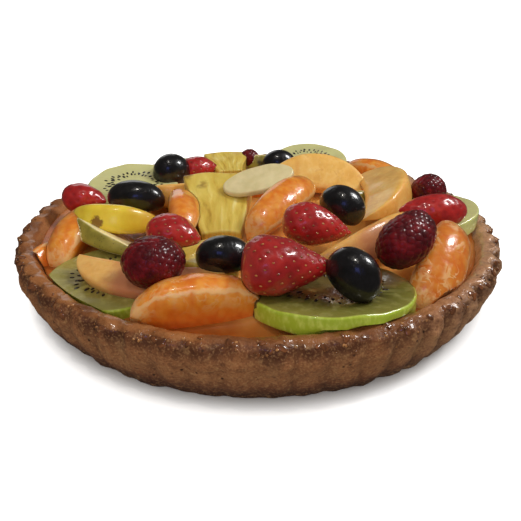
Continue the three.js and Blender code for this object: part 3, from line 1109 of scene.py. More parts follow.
@dataclass
class GrapeHalf(Fruit):
    """Grape half: an oval with a flattened underside."""

    wobble: float = 0.12
    flat: float = -0.45
    squash: float = 0.15
    middle: float = 0.23
    extent: float = 1.53

    def shape(self, x: np.ndarray, y: np.ndarray, z: np.ndarray) -> tuple[np.ndarray, np.ndarray]:
        """Works out the half.

        Args:
            x: Place along the length, from -1 to 1.
            y: Place across on the unit ball.
            z: Height on the unit ball.

        Returns:
            Local points in millimetres, and form coordinates: the place on the ball.
        """
        length, width, height = self.place.size
        level = np.where(z < self.flat, self.flat + (z - self.flat) * self.squash, z)
        rise = (level - self.middle) * height / self.extent
        local = np.column_stack([x * length / 2, y * width / 2, rise])
        return local, np.column_stack([x, y, z])


@dataclass
class Wedge(Fruit):
    """Wedge of a round fruit: core edge at -Z, skin at +Z, two flat cut faces."""

    wobble: float = 0.16
    hollow: float = 0.1
    square: float = 4.0
    plump: float = 0.5
    lift: float = 0.3

    def shape(self, x: np.ndarray, y: np.ndarray, z: np.ndarray) -> tuple[np.ndarray, np.ndarray]:
        """Works out the wedge.

        Args:
            x: Place along the length, from -1 to 1.
            y: Place across on the unit ball.
            z: Height on the unit ball.

        Returns:
            Local points in millimetres, and form coordinates: along, across, and from core to skin.
        """
        length, width, depth = self.place.size
        spread = math.asin(min(0.99, width / (2 * depth)))
        taper = np.maximum(0, 1 - x * x) ** self.plump
        angle = np.arctan2(y, z)
        cosine, sine = np.cos(angle), np.sin(angle)
        corner = (np.abs(cosine) ** self.square + np.abs(sine) ** self.square) ** (1 / self.square)
        outer = depth * taper
        inner = depth * self.hollow * taper**1.5
        reach = (outer + inner) / 2 + (outer - inner) / 2 * cosine / corner
        swing = spread * sine / corner
        floor = depth / 2 * (self.lift * (1 - taper) - 1)
        local = np.column_stack([x * length / 2, reach * np.sin(swing), reach * np.cos(swing) + floor])
        return local, np.column_stack([x, sine / corner, cosine / corner])


@dataclass
class Slice(Fruit):
    """A flat slice with a rounded edge."""

    soften: float = 0.9
    flat_rings: int = 18
    edge_rings: int = 10

    def outline(self, turn: np.ndarray) -> np.ndarray:
        """The slice's outline, in millimetres, at angles round it."""
        length, width, _ = self.place.size
        return np.column_stack([np.cos(turn) * length / 2, np.sin(turn) * width / 2])

    def form_at(self, flat: np.ndarray) -> np.ndarray:
        """The two form coordinates of points on the slice."""
        length, width, _ = self.place.size
        return flat / np.array([length / 2, width / 2])

    def grid(self) -> tuple[np.ndarray, np.ndarray, Faces]:
        """Makes rings from the middle of the upper face, over the edge, to the middle of the lower one.

        Returns:
            Local points, form coordinates and faces.
        """
        turn = np.linspace(0, 2 * math.pi, self.around, endpoint=False)
        edge = self.outline(turn)
        reach = np.linalg.norm(edge, axis=1).mean()
        half = self.place.size[2] / 2
        soft = self.soften / reach
        top = [(share, half) for share in np.linspace(0.03, 1 - soft, self.flat_rings)]
        bends = np.linspace(0, math.pi / 2, self.edge_rings)[1:]
        upper = [(1 - soft + soft * math.sin(b), half - self.soften * (1 - math.cos(b))) for b in bends]
        side = upper + [(1.0, h) for h in np.linspace(half - self.soften, self.soften - half, 6)[1:-1]]
        side += [(share, -h) for share, h in reversed(upper)]
        bottom = [(share, -half) for share in np.linspace(1 - soft, 0.1, 6)]
        rows = top + side + bottom
        flat = np.vstack([[[0, 0]]] + [edge * share for share, _ in rows] + [[[0, 0]]])
        height = np.concatenate([[half], np.repeat([h for _, h in rows], self.around), [-half]])
        local = np.column_stack([flat, height])
        form = np.column_stack([self.form_at(flat), height / half])
        return local, form, ring_faces(len(rows), self.around)


@dataclass
class KiwiSlice(Slice):
    """Round slice of kiwi with a ring of seeds."""

    seed_count: int = 64

    def seeds(self) -> np.ndarray:
        """Lays the seeds in two uneven rings on the upper face.

        Returns:
            Their local places.
        """
        chance = np.random.default_rng(sum(map(ord, self.place.name)))
        length, width, thick = self.place.size
        number = np.arange(self.seed_count)
        turn = 2 * math.pi * (number + chance.uniform(-0.35, 0.35, self.seed_count)) / self.seed_count
        reach = np.where(number % 2 == 0, 0.44, 0.56) + chance.uniform(-0.05, 0.05, self.seed_count)
        height = np.full(self.seed_count, thick / 2 - 0.12)
        x = 1.1 * reach * np.cos(turn) * length / 2
        y = 0.95 * reach * np.sin(turn) * width / 2
        return np.column_stack([x, y, height])


@dataclass
class PineappleChunk(Slice):
    """Part of a pineapple ring: rind side at +Y, core side at -Y."""

    around: int = 160
    soften: float = 1.0

    def outline(self, turn: np.ndarray) -> np.ndarray:
        """The chunk's outline, evenly spaced round it.

        Args:
            turn: Angles that stand for the places round it.

        Returns:
            Flat points, in millimetres.
        """
        length, width, _ = self.place.size
        outer = width * 2
        inner = outer - width
        spread = math.asin(min(0.98, length / 2 / outer))
        sweep = np.linspace(math.pi / 2 - spread, math.pi / 2 + spread, 60)
        arcs = [(outer, sweep), (inner, sweep[::-1])]
        loop = np.vstack([np.column_stack([r * np.cos(a), r * np.sin(a)]) for r, a in arcs])
        loop = np.vstack([loop, loop[:1]]) - np.array([0, (outer + inner) / 2])
        walked = np.concatenate([[0], np.cumsum(np.linalg.norm(np.diff(loop, axis=0), axis=1))])
        share = turn / (2 * math.pi) * walked[-1]
        return np.column_stack([np.interp(share, walked, loop[:, k]) for k in range(2)])

    def form_at(self, flat: np.ndarray) -> np.ndarray:
        """Works out where points lie in the whole ring.

        Args:
            flat: Flat points of the chunk.

        Returns:
            The angle about the ring's centre, and the place from core to rind from -1 to 1.
        """
        _, width, _ = self.place.size
        middle = width * 1.5
        away = np.hypot(flat[:, 0], flat[:, 1] + middle)
        angle = np.arctan2(flat[:, 0], flat[:, 1] + middle)
        return np.column_stack([angle, (away - middle) / (width / 2)])


class NodeTree:
    """A geometry node tree with named inputs."""

    def __init__(self, name: str) -> None:
        """Makes a tree that takes and gives a geometry.

        Args:
            name: Its name.
        """
        self.group = bpy.data.node_groups.new(name, "GeometryNodeTree")
        self.group.interface.new_socket("Geometry", in_out="INPUT", socket_type="NodeSocketGeometry")
        self.group.interface.new_socket("Geometry", in_out="OUTPUT", socket_type="NodeSocketGeometry")
        self.names: dict[str, str] = {}
        self.start = self.group.nodes.new("NodeGroupInput")
        self.end = self.group.nodes.new("NodeGroupOutput")

    def ask(self, name: str, kind: str) -> None:
        """Adds a named input of a socket type."""
        made = self.group.interface.new_socket(name, in_out="INPUT", socket_type=kind)
        self.names[name] = made.identifier

    def given(self, name: str) -> bpy.types.NodeSocket:
        """The socket that carries a named input."""
        return self.start.outputs[name]

    def node(self, kind: str, settings: dict[str, object], inputs: dict[str, object]) -> bpy.types.Node:
        """Adds a node.

        Args:
            kind: The node's type.
            settings: Its settings.
            inputs: Values or sockets for its inputs, by name.

        Returns:
            The node.
        """
        made = self.group.nodes.new(kind)
        for key, value in settings.items():
            setattr(made, key, value)
        for key, value in inputs.items():
            socket = next(s for s in made.inputs if s.name == key and s.enabled)
            if isinstance(value, bpy.types.NodeSocket):
                self.group.links.new(value, socket)
            else:
                socket.default_value = value
        return made


@dataclass
class Scatter:
    """Small grains set on a surface by a node tree: seeds, drupelets or crumbs."""

    name: str
    length: float
    width: float
    thick: float
    vary: float = 0.15
    seed: int = 3
    segments: int = 8
    rows: int = 6

    def tree(self) -> NodeTree:
        """Makes the node tree: one grain on each point, turned to the surface.

        Returns:
            The tree.
        """
        tree = NodeTree(self.name)
        for name in ("Length", "Width", "Thick", "Smallest", "Largest"):
            tree.ask(name, "NodeSocketFloat")
        tree.ask("Seed", "NodeSocketInt")
        tree.ask("Finish", "NodeSocketMaterial")
        inputs = {"Segments": self.segments, "Rings": self.rows, "Radius": 0.5}
        ball = tree.node("GeometryNodeMeshUVSphere", {}, inputs)
        inputs = {"X": tree.given("Length"), "Y": tree.given("Width"), "Z": tree.given("Thick")}
        size = tree.node("ShaderNodeCombineXYZ", {}, inputs)
        inputs = {"Geometry": ball.outputs["Mesh"], "Scale": size.outputs[0]}
        grain = tree.node("GeometryNodeTransform", {}, inputs)
        vector = {"data_type": "FLOAT_VECTOR"}
        up = tree.node("GeometryNodeInputNamedAttribute", vector, {"Name": "up"}).outputs["Attribute"]
        ahead = tree.node("GeometryNodeInputNamedAttribute", vector, {"Name": "ahead"}).outputs["Attribute"]
        stand = tree.node("FunctionNodeAlignRotationToVector", {"axis": "Z"}, {"Vector": up})
        inputs = {"Rotation": stand.outputs[0], "Vector": ahead}
        face = tree.node("FunctionNodeAlignRotationToVector", {"axis": "X", "pivot_axis": "Z"}, inputs)
        inputs = {"Min": tree.given("Smallest"), "Max": tree.given("Largest"), "Seed": tree.given("Seed")}
        chance = tree.node("FunctionNodeRandomValue", {"data_type": "FLOAT"}, inputs)
        inputs = {
            "Points": tree.given("Geometry"),
            "Instance": grain.outputs["Geometry"],
            "Rotation": face.outputs[0],
            "Scale": next(s for s in chance.outputs if s.enabled),
        }
        placed = tree.node("GeometryNodeInstanceOnPoints", {}, inputs)
        real = tree.node("GeometryNodeRealizeInstances", {}, {"Geometry": placed.outputs[0]})
        smooth = tree.node("GeometryNodeSetShadeSmooth", {}, {"Geometry": real.outputs[0]})
        inputs = {"Geometry": smooth.outputs[0], "Material": tree.given("Finish")}
        painted = tree.node("GeometryNodeSetMaterial", {}, inputs)
        tree.group.links.new(painted.outputs[0], tree.end.inputs[0])
        return tree

    def build(
        self, spots: np.ndarray, up: np.ndarray, ahead: np.ndarray, material: bpy.types.Material
    ) -> bpy.types.Object:
        """Sets the grains.

        Args:
            spots: Where each one sits, in millimetres.
            up: The way out of the surface there.
            ahead: The way its length points.
            material: Its finish.

        Returns:
            One object with all the grains.
        """
        made = mesh_object(self.name, spots, [], {"up": up, "ahead": ahead}, material)
        tree = self.tree()
        step = made.modifiers.new("grains", "NODES")
        step.node_group = tree.group
        values = {
            "Length": self.length * MM,
            "Width": self.width * MM,
            "Thick": self.thick * MM,
            "Smallest": 1 - self.vary,
            "Largest": 1 + self.vary,
            "Seed": self.seed,
            "Finish": material,
        }
        for name, value in values.items():
            step[tree.names[name]] = value
        plain_mesh(made)
        for name in ("up", "ahead"):
            if name in made.data.attributes:
                made.data.attributes.remove(made.data.attributes[name])
        return made


@dataclass
class Crust:
    """The fluted shell."""

    flutes: int = 60
    flute_depth: float = 2.4
    steps: int = 14
    smoothing: int = 4

    def profile(self) -> np.ndarray:
        """Works out the section of the shell, each mark with the number of steps that lead to it.

        Returns:
            Rows of radius, height and flute share, from the axis below to the axis above.
        """
        marks = [
            ((0.6, 0, 0), 0),
            ((FOOT_RADIUS - 2, 0, 0.3), 5),
            ((FOOT_RADIUS + 0.4, 0.5, 0.36), 4),
            ((FOOT_RADIUS + 5.2, SHELL_HEIGHT * 0.36, 0.6), 14),
            ((RIM_RADIUS + 0.1, SHELL_HEIGHT * 0.73, 1), 14),
            ((RIM_RADIUS - 0.7, SHELL_HEIGHT * 0.93, 0.95), 9),
            ((CREST_RADIUS + 0.4, SHELL_HEIGHT + 0.15, 0.6), 10),
            ((LIP_RADIUS + 0.3, LIP_HEIGHT + 0.3, 0.15), 8),
            ((FLOOR_RADIUS, BASE_THICK, 0), 12),
            ((0.6, BASE_THICK, 0), 4),
        ]
        rows = [marks[0][0]]
        for (mark, count), (before, _) in zip(marks[1:], marks):
            rows += list(np.linspace(before, mark, count + 1)[1:])
        line = np.array(rows)
        for _ in range(self.smoothing):
            line[3:-3] = (line[2:-4] + 2 * line[3:-3] + line[4:-2]) / 4
        line[:, 1] *= SHELL_HEIGHT / line[:, 1].max()
        return line

    def build(self, material: bpy.types.Material) -> bpy.types.Object:
        """Makes the shell with its flutes, wear and crumb.

        Args:
            material: Its finish.

        Returns:
            The new object.
        """
        line = self.profile()
        around = self.flutes * self.steps
        angle = np.tile(np.linspace(0, 2 * math.pi, around, endpoint=False), len(line))
        radius, height, share = (np.repeat(line[:, k], around) for k in range(3))
        bare = np.column_stack([radius * np.cos(angle), radius * np.sin(angle), height])
        groove = (1 - (np.sin(angle * self.flutes / 2) ** 2 + 0.01) ** 0.55).clip(0)
        # The flutes are shallow in front, deeper at the back and the left, and deepest at the right
        east, north = np.cos(angle), np.sin(angle)
        depth = 0.46 + 0.54 * np.abs(east) ** 1.4 + 0.3 * east.clip(0) + 0.3 * north.clip(0)
        depth = depth * (1 + 0.3 * ripple(bare * [1, 1, 0], 17, 5))
        outer = np.repeat(np.arange(len(line)) < np.argmax(line[:, 1]), around)
        rough = (share > 0.05) | (height > LIP_HEIGHT - 4)
        relief = 0.4 * ripple(bare, 15, 11) + 0.22 * ripple(bare, 5.5, 12) + 0.1 * ripple(bare, 2.2, 13)
        radius = radius - self.flute_depth * share * groove * depth + relief * rough * np.where(outer, 1, 0.4)
        top = np.clip((height - SHELL_HEIGHT * 0.8) / (SHELL_HEIGHT * 0.2), 0, 1)
        zone = np.where(outer, height / SHELL_HEIGHT, 2 - height / SHELL_HEIGHT)
        uneven = 0.4 * ripple(bare, 9, 14) + 0.22 * ripple(bare, 3.4, 15)
        height = dipped(height - top * (0.9 * groove * depth - uneven), angle)
        body = np.column_stack([radius * np.cos(angle), radius * np.sin(angle), height])
        points = np.vstack([[[0, 0, 0]], body, [[0, 0, BASE_THICK]]])
        form = np.column_stack([zone, groove * depth, np.zeros_like(zone)])
        form = np.vstack([[[0, 0, 0]], form, [[2, 0, 0]]])
        return mesh_object("crust_baked", points, ring_faces(len(line), around), {"form": form}, material)


@dataclass
class Filling:
    """Custard and glaze between the shell and the fruit, drawn up a little where it meets them."""

    rings: int = 84
    around: int = 320
    climb: float = 4.2
    brim: float = 1.1
    reach: float = 2.2
    calm: float = 14.0
    search: float = 12.0
    wall_gap: float = 0.06

    def build(self, material: bpy.types.Material, fruit: BVHTree) -> bpy.types.Object:
        """Makes the filling.

        Args:
            material: Its finish.
            fruit: Surfaces of the fruit, in metres.

        Returns:
            The new object.
        """
        share = np.linspace(0.01, 1, self.rings) ** 0.85
        angle = np.tile(np.linspace(0, 2 * math.pi, self.around, endpoint=False), self.rings)
        steep = (LIP_RADIUS - FLOOR_RADIUS) / (dipped(np.array(LIP_HEIGHT), angle) - BASE_THICK)
        wall = FLOOR_RADIUS + steep * (FILL_LEVEL + self.brim - BASE_THICK) - self.wall_gap
        radius = np.repeat(share, self.around) * wall
        flat = np.column_stack([radius * np.cos(angle), radius * np.sin(angle), np.zeros_like(radius)])
        level = FILL_LEVEL + FILL_CROWN * (1 - (radius / wall) ** 2) + 0.25 * ripple(flat, 24, 21)
        level += self.brim * np.exp(-(wall - radius) / self.reach)
        near = np.array([self.nearness(fruit, p, z) for p, z in zip(flat, level)])
        level += self.climb * np.exp(-near / self.reach) * np.clip((wall - radius) / self.calm, 0, 1)
        body = np.column_stack([flat[:, :2], level])
        spin = angle[: self.around]
        low, bottom = FLOOR_RADIUS - CLEAR, BASE_THICK + GAP
        foot = np.column_stack([low * np.cos(spin), low * np.sin(spin), np.full(self.around, bottom)])
        middle = [[0, 0, level[: self.around].mean()]]
        points = np.vstack([middle, body, foot, [[0, 0, bottom]]])
        return mesh_object("filling_glazed", points, ring_faces(self.rings + 1, self.around), {}, material)

    def nearness(self, fruit: BVHTree, point: np.ndarray, level: float) -> float:
        """Distance in millimetres from a point of the surface to the nearest fruit."""
        found = fruit.find_nearest(Vector((point[0], point[1], level)) * MM, self.search * MM)
        return self.search if found[3] is None else found[3] / MM


@dataclass
class Heap:
    """All the fruit, each piece pressed into by the ones laid over it.

    The press is in millimetres and the sharp angle in degrees. The juicy berries stain the peach.
    """

    press: float = 0.12
    sharp_angle: float = 50.0
    juicy: tuple[str, ...] = ("raspberry_left", "raspberry_right")

    def finishes(self) -> dict[Kind, bpy.types.Material]:
        """Makes one finish for each kind.

        Returns:
            The materials by kind.
        """
        stains = tuple((p.at[0] * MM, p.at[1] * MM) for p in placements() if p.name in self.juicy)
        cream = ((0.3, tint(208, 194, 142)), (0.7, tint(224, 210, 164)))
        wine = ((0.3, tint(58, 4, 10)), (0.55, tint(92, 7, 17)), (0.8, tint(138, 20, 28)))
        black = ((0.35, tint(9, 8, 10)), (0.7, tint(22, 20, 24)), (0.9, tint(44, 42, 46)))
        made = {
            Kind.PLAQUE: CloudFinish(
                "white_chocolate", 0.38, 0.25, 0.25, 0.1, own=True, scale=0.25, detail=3, stops=cream,
                relief_scale=0.5, relief_detail=3, relief=0.15, relief_depth=0.3,
            ),
            Kind.RASPBERRY: CloudFinish(
                "raspberry_skin", 0.5, 0.6, 0.05, 0.25, 2.5, (1.0, 0.1, 0.08), 0.2, scale=220, detail=3,
                stops=wine, relief_scale=700, relief_detail=2, relief=0.15, relief_depth=0.2,
            ),
            Kind.GRAPE: CloudFinish(
                "grape_skin", 0.3, 1.0, 0.1, own=True, scale=0.3, detail=4, stops=black,
                relief_scale=0.45, relief_detail=4, relief=0.45, relief_depth=0.7,
            ),
            Kind.STRAWBERRY: StrawberryFinish("strawberry_skin", 0.35, 1.0, 0.07, 0.1, 1.5),
            Kind.MANDARIN: MandarinFinish("mandarin_flesh", 0.3, 1.0, 0.08, 0.2, 2.5),
            Kind.MANGO: MangoFinish("mango_flesh", 0.4, 0.8, 0.12, 0.2, 2.5),
            Kind.PEACH: PeachFinish("peach_flesh", 0.42, 0.6, 0.1, 0.2, 2.5, shine=0.35, stains=stains),
            Kind.PINEAPPLE: PineappleFinish("pineapple_flesh", 0.4, 0.7, 0.15, 0.15, 2.0),
            Kind.KIWI: KiwiFinish("kiwi_flesh", 0.35, 1.0, 0.1, 0.15, 2.0, (0.7, 1.0, 0.3)),
            Kind.PEAR: PearFinish("pear_flesh", 0.45, 0.6, 0.15, 0.1, 2.0),
        }
        return {kind: finish.material() for kind, finish in made.items()}

    def fruit(self, place: Placement) -> Fruit:
        """Chooses the maker of a piece.

        Args:
            place: Where the piece lies.

        Returns:
            Its maker.
        """
        wedges = {
            Kind.MANDARIN: {"hollow": 0.08, "square": 2.6, "plump": 0.36, "lift": 0.7},
            Kind.PEACH: {"hollow": 0.28, "square": 6, "plump": 0.5},
            Kind.MANGO: {"hollow": 0.2, "square": 4, "plump": 0.34},
            Kind.PEAR: {"hollow": 0.15, "square": 6, "plump": 0.5},
        }
        if place.kind in wedges:
            return Wedge(place, **wedges[place.kind])
        plain = {
            Kind.STRAWBERRY: Strawberry,
            Kind.RASPBERRY: Raspberry,
            Kind.GRAPE: GrapeHalf,
            Kind.KIWI: KiwiSlice,
            Kind.PINEAPPLE: PineappleChunk,
            Kind.PLAQUE: Slice,
        }
        return plain[place.kind](place)

    def presser(self, piece: bpy.types.Object) -> bpy.types.Object:
        """Copies a piece, a little larger, to cut its neighbours with.

        Args:
            piece: The piece.

        Returns:
            The copy.
        """
        mesh = piece.data.copy()
        moved = corner_values(mesh, "co") + corner_values(mesh, "normal") * self.press * MM
        mesh.vertices.foreach_set("co", moved.ravel())
        made = bpy.data.objects.new(piece.name + "_press", mesh)
        bpy.context.scene.collection.objects.link(made)
        return made

    @staticmethod
    def meet(first: bpy.types.Object, second: bpy.types.Object) -> bool:
        """Whether the boxes round two objects meet."""
        one, two = corner_values(first.data, "co"), corner_values(second.data, "co")
        return bool((one.min(axis=0) < two.max(axis=0)).all() and (two.min(axis=0) < one.max(axis=0)).all())

    def build(self) -> dict[str, bpy.types.Object]:
        """Makes all the fruit.

        Returns:
            Each piece by its name.
        """
        finishes = self.finishes()
        pieces: dict[str, bpy.types.Object] = {}
        pressers: list[bpy.types.Object] = []
        for place in placements():
            piece = self.fruit(place).build(finishes[place.kind])
            presser = self.presser(piece)
            for upper in pressers:
                if self.meet(piece, upper):
                    cut = piece.modifiers.new("press", "BOOLEAN")
                    cut.operation = "DIFFERENCE"
                    cut.solver = "MANIFOLD"
                    cut.object = upper
            if piece.modifiers:
                plain_mesh(piece)
                piece.data.set_sharp_from_angle(angle=math.radians(self.sharp_angle))
            pressers.append(presser)
            pieces[place.name] = piece
        for presser in pressers:
            spare = presser.data
            bpy.data.objects.remove(presser)
            bpy.data.meshes.remove(spare)
        return pieces

    @staticmethod
    def surface(pieces: list[bpy.types.Object]) -> BVHTree:
        """Makes one search tree of several pieces.

        Args:
            pieces: The pieces.

        Returns:
            The tree, in metres.
        """
        corners: list[Vector] = []
        faces: Faces = []
        for piece in pieces:
            start = len(corners)
            corners += [v.co.copy() for v in piece.data.vertices]
            faces += [tuple(start + k for k in p.vertices) for p in piece.data.polygons]
        return BVHTree.FromPolygons(corners, faces)


@dataclass
class Trimmings:
    """Seeds, drupelets, crumbs and drops that are too small to be pieces of their own."""

    crumb_count: int = 300
    drop_count: int = 240
    seeded_within: float = 60.0
    rim_band: tuple[float, float] = (-2.0, 4.0)

    @staticmethod
    def on_skin(
        pieces: dict[str, bpy.types.Object],
        spots: dict[Placement, np.ndarray],
        sink: float = 0.0,
        near: float = 0.9,
        upright: float = -1.0,
        outward: bool = False,
    ) -> Spots:
        """Finds where local spots meet the skins of their pieces, above the filling.

        Args:
            pieces: The pieces by name.
            spots: Local spots of each piece.
            sink: How far below the skin a spot's centre lies, in millimetres.
            near: How far the skin may be from a spot, in millimetres.
            upright: Least height of the way out of the skin.
            outward: Whether a grain points away from the middle of its piece, or else along it.

        Returns:
            Spots in millimetres, the way out of the skin, and the way each grain points.
        """
        lowest = FILL_LEVEL + 0.5
        rows, ups, aheads = [], [], []
        for place, local in spots.items():
            tree = Heap.surface([pieces[place.name]])
            ways = local * [1, 1, 0] if outward else np.tile([1, 0, 0], (len(local), 1))
            for point, way in zip(place.laid(local), ways @ place.spin().T):
                spot, up, _, far = tree.find_nearest(Vector(point) * MM)
                if far > near * MM or up.z < upright or spot.z < lowest * MM:
                    continue
                rows.append(np.array(spot) / MM - np.array(up) * sink)
                ups.append(np.array(up))
                aheads.append(way)
        return np.array(rows), np.array(ups), np.array(aheads)

    def build(self, pieces: dict[str, bpy.types.Object]) -> list[tuple[bpy.types.Object, str]]:
        """Makes the seeds and the drupelets.

        Args:
            pieces: The fruit by name.

        Returns:
            Each new object with the slot it takes its finish from.
        """
        heap = Heap()
        by_kind = {kind: [p for p in placements() if p.kind is kind] for kind in Kind}
        berries = [p for p in by_kind[Kind.STRAWBERRY] if abs(p.at[0]) < self.seeded_within]
        rasps, slices = by_kind[Kind.RASPBERRY], by_kind[Kind.KIWI]
        seeds = self.on_skin(pieces, {p: heap.fruit(p).seeds() for p in berries}, sink=-0.02)
        bumps = self.on_skin(pieces, {p: heap.fruit(p).drupelets() for p in rasps}, sink=0.58)
        laid = {p: heap.fruit(p).seeds() for p in slices}
        pips = self.on_skin(pieces, laid, near=0.6, upright=0.7, outward=True)
        brown = two_shades(tint(120, 52, 28), tint(186, 120, 60))
        black = two_shades(tint(14, 11, 10), tint(34, 24, 20))
        gold = CloudFinish("strawberry_seed", 0.4, 1.0, 0.1, stops=brown).material()
        skin = pieces[rasps[0].name].data.materials[0]
        dark = CloudFinish("kiwi_seed", 0.3, 1.0, 0.08, stops=black).material()
        drupelets = Scatter("raspberry_drupelets", 3.3, 3.3, 1.6, vary=0.08, seed=4, segments=12, rows=8)
        return [
            (Scatter("strawberry_seeds", 1.05, 0.62, 0.35).build(*seeds, gold), "strawberry"),
            (drupelets.build(*bumps, skin), "raspberry"),
            (Scatter("kiwi_seeds", 1.9, 1.0, 0.6, vary=0.25).build(*pips, dark), "kiwi"),
        ]

    def on_rim(self, crust: bpy.types.Object, count: int, seed: int, fall: float) -> Spots:
        """Finds random spots along the rim.

        Args:
            crust: The shell they lie on.
            count: How many there are.
            seed: Chooses the spots.
            fall: Mean distance below the crest, in millimetres.

        Returns:
            Spots in millimetres, the way out of the crust, and a random way along it.
        """
        chance = np.random.default_rng(seed)
        tree = Heap.surface([crust])
        rows, ups, aheads = [], [], []
        for _ in range(count):
            angle = chance.uniform(0, 2 * math.pi)
            radius = RIM_RADIUS - chance.uniform(*self.rim_band)
            height = float(dipped(np.array(SHELL_HEIGHT), np.array(angle))) + 1 - chance.exponential(fall)
            point = Vector((radius * math.cos(angle), radius * math.sin(angle), height))
            spot, up, _, _ = tree.find_nearest(point * MM)
            rows.append(np.array(spot) / MM)
            ups.append(np.array(up))
            aheads.append(chance.normal(size=3))
        return np.array(rows), np.array(ups), np.array(aheads)

    def rim(self, crust: bpy.types.Object) -> list[tuple[bpy.types.Object, str]]:
        """Makes the crumbs of pastry and the drops of set glaze along the rim.

        Args:
            crust: The shell they lie on.

        Returns:
            Each new object with the slot it takes its finish from.
        """
        baked = two_shades(tint(110, 64, 34), tint(184, 130, 78))
        amber = two_shades(tint(84, 50, 31), tint(128, 78, 46))
        gold = CloudFinish("pastry_crumb", 0.3, 0.9, 0.1, stops=baked).material()
        wet = CloudFinish("glaze_drop", 0.2, 1.0, 0.04, stops=amber).material()
        crumbs = Scatter("crumbs", 0.9, 0.6, 0.4, vary=0.5, seed=6, segments=6, rows=5)
        drops = Scatter("glaze_drops", 2.3, 1.4, 0.36, vary=0.5, seed=7)
        return [
            (crumbs.build(*self.on_rim(crust, self.crumb_count, 31, 2.0), gold), "crust"),
            (drops.build(*self.on_rim(crust, self.drop_count, 32, 1.6), wet), "filling"),
        ]


@dataclass(frozen=True)
class Lamp:
    """An area light that faces the tart: place and side in metres, power in watts."""

    name: str
    at: Triple
    power: float
    size: float
    shows: bool = True
    colour: Triple = (1.0, 1.0, 1.0)
    target: Triple = (0.0, 0.0, 0.02)

    def build(self) -> None:
        """Adds the light to the scene, seen in gloss where it shows."""
        lamp = bpy.data.lights.new(self.name, "AREA")
        lamp.color = self.colour
        lamp.energy = self.power
        lamp.size = self.size
        made = bpy.data.objects.new(self.name, lamp)
        made.location = self.at
        made.rotation_euler = (Vector(self.target) - Vector(self.at)).to_track_quat("-Z", "Y").to_euler()
        made.visible_glossy = self.shows
        bpy.context.scene.collection.objects.link(made)


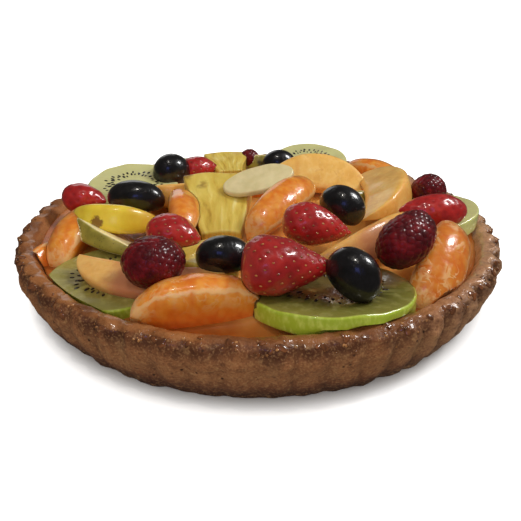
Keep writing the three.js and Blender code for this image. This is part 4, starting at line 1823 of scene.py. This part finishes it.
@dataclass
class Studio:
    """Floor, light and camera; sizes of the picture are in pixels, others in millimetres."""

    picture: float = 521.0
    focal: float = 500.0
    distance: float = 232.9
    height_angle: float = 27.8
    centre: tuple[float, float] = (258.1, 257.4)
    sensor: float = 36.0
    floor_radius: float = 12000.0
    floor_sides: int = 96
    shade: tuple[float, float] = (91.0, 102.5)
    surround: Colour = (1, 0.94, 0.84, 1)
    ambient: float = 0.34
    ambient_in_gloss: float = 0.06
    backdrop: float = 1.3

    def floor(self) -> bpy.types.Object:
        """Makes the pale floor, which glows as a white backdrop except round the tart, where its glow fades
        out as a painted shadow.

        Returns:
            The new object.
        """
        fixed = {"Base Color": tint(200, 200, 200), "Roughness": 0.9, "Emission Strength": 1.0}
        shader = Shader("pale_floor", fixed)
        x, y, _ = shader.place().parts()
        # The glow fades out round the tart's foot, which paints its shadow on the floor
        glow_past_painted_shadow = x.span(y).rise(self.shade[0] * MM, self.shade[1] * MM)
        shader.feed("Emission Color", shader.blend(glow_past_painted_shadow, (0.05, 0.05, 0.05, 1), (0.95, 0.95, 0.95, 1)))
        turn = np.linspace(0, 2 * math.pi, self.floor_sides, endpoint=False)
        points = np.column_stack([np.cos(turn), np.sin(turn), turn * 0]) * self.floor_radius
        made = mesh_object("floor", points, [tuple(range(self.floor_sides))], {}, shader.material)
        made.visible_glossy = False
        made.visible_diffuse = False
        return made

    def world(self) -> None:
        """Makes the white surround, which is dim in gloss."""
        world = bpy.data.worlds.new("surround")
        world.use_nodes = True
        tree = world.node_tree
        shade = tree.nodes["Background"]
        path = tree.nodes.new("ShaderNodeLightPath")
        dim = tree.nodes.new("ShaderNodeMix")
        dim.inputs[2].default_value = self.ambient
        dim.inputs[3].default_value = self.ambient_in_gloss
        seen = tree.nodes.new("ShaderNodeMix")
        seen.inputs[3].default_value = self.backdrop
        tree.links.new(path.outputs["Is Glossy Ray"], dim.inputs[0])
        tree.links.new(dim.outputs[0], seen.inputs[2])
        tree.links.new(path.outputs["Is Camera Ray"], seen.inputs[0])
        tree.links.new(seen.outputs[0], shade.inputs["Strength"])
        shade.inputs["Color"].default_value = self.surround
        bpy.context.scene.world = world

    def camera(self) -> None:
        """Sets the camera where the picture was taken."""
        eye = bpy.data.cameras.new("camera")
        eye.sensor_width = self.sensor
        eye.lens = self.focal / self.picture * self.sensor
        eye.shift_x = (self.picture / 2 - self.centre[0]) / self.picture
        eye.shift_y = (self.centre[1] - self.picture / 2) / self.picture
        eye.clip_start = 0.01
        made = bpy.data.objects.new("camera", eye)
        tilt = math.radians(self.height_angle)
        made.location = (0, -self.distance * MM * math.cos(tilt), self.distance * MM * math.sin(tilt))
        made.rotation_euler = (math.pi / 2 - tilt, 0, 0)
        bpy.context.scene.collection.objects.link(made)
        bpy.context.scene.camera = made

    def build(self) -> None:
        """Sets up the whole stage."""
        bpy.context.scene.view_settings.view_transform = "Standard"
        self.floor()
        self.world()
        lamps = (
            Lamp("key", (0.62, 0.12, 0.7), 4.6, 0.24),
            Lamp("window", (-0.3, 0.95, 0.36), 0.6, 0.5),
            Lamp("lamp", (-0.12, -0.25, 1.0), 1.1, 0.05, colour=(1.0, 0.94, 0.86)),
            Lamp("fill", (-0.15, -0.9, 0.55), 3.9, 0.9, shows=False, colour=(1.0, 0.92, 0.8)),
            Lamp("sky", (-0.1, -0.5, 0.35), 0.09, 0.14, colour=(0.2, 0.26, 1.0)),
        )
        for lamp in lamps:
            lamp.build()
        self.camera()


def settle(piece: bpy.types.Object, node: str | None = None) -> None:
    """Ties a finished piece to the frame.

    Args:
        piece: The piece.
        node: The solid it stands for, where it stands for one.
    """
    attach(piece, "root")
    if node:
        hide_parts(node)
    LOG.info("%s: %d faces", piece.name, len(piece.data.polygons))


def main() -> None:
    """Builds the tart, its trimmings and the stage."""
    logging.basicConfig(level=logging.INFO, format="%(message)s")
    pieces = Heap().build()
    crust = Crust().build(CrustFinish("baked_crust", 0.6, 0.5, 0.12, shine=0.3).material())
    gel = GelFinish("amber_glaze", 0.35, 0.4, 0.06, 0.2, 3.0, shine=0.2).material()
    filling = Filling().build(gel, Heap.surface(list(pieces.values())))
    trimmings = Trimmings()
    extras = trimmings.build(pieces) + trimmings.rim(crust)
    for name, piece in pieces.items():
        piece.name = name + "_glazed"
        settle(piece, name)
    settle(crust, "crust")
    settle(filling, "filling")
    for piece, slot in extras:
        settle(piece)
    Studio().build()


if __name__ == "__main__":
    main()
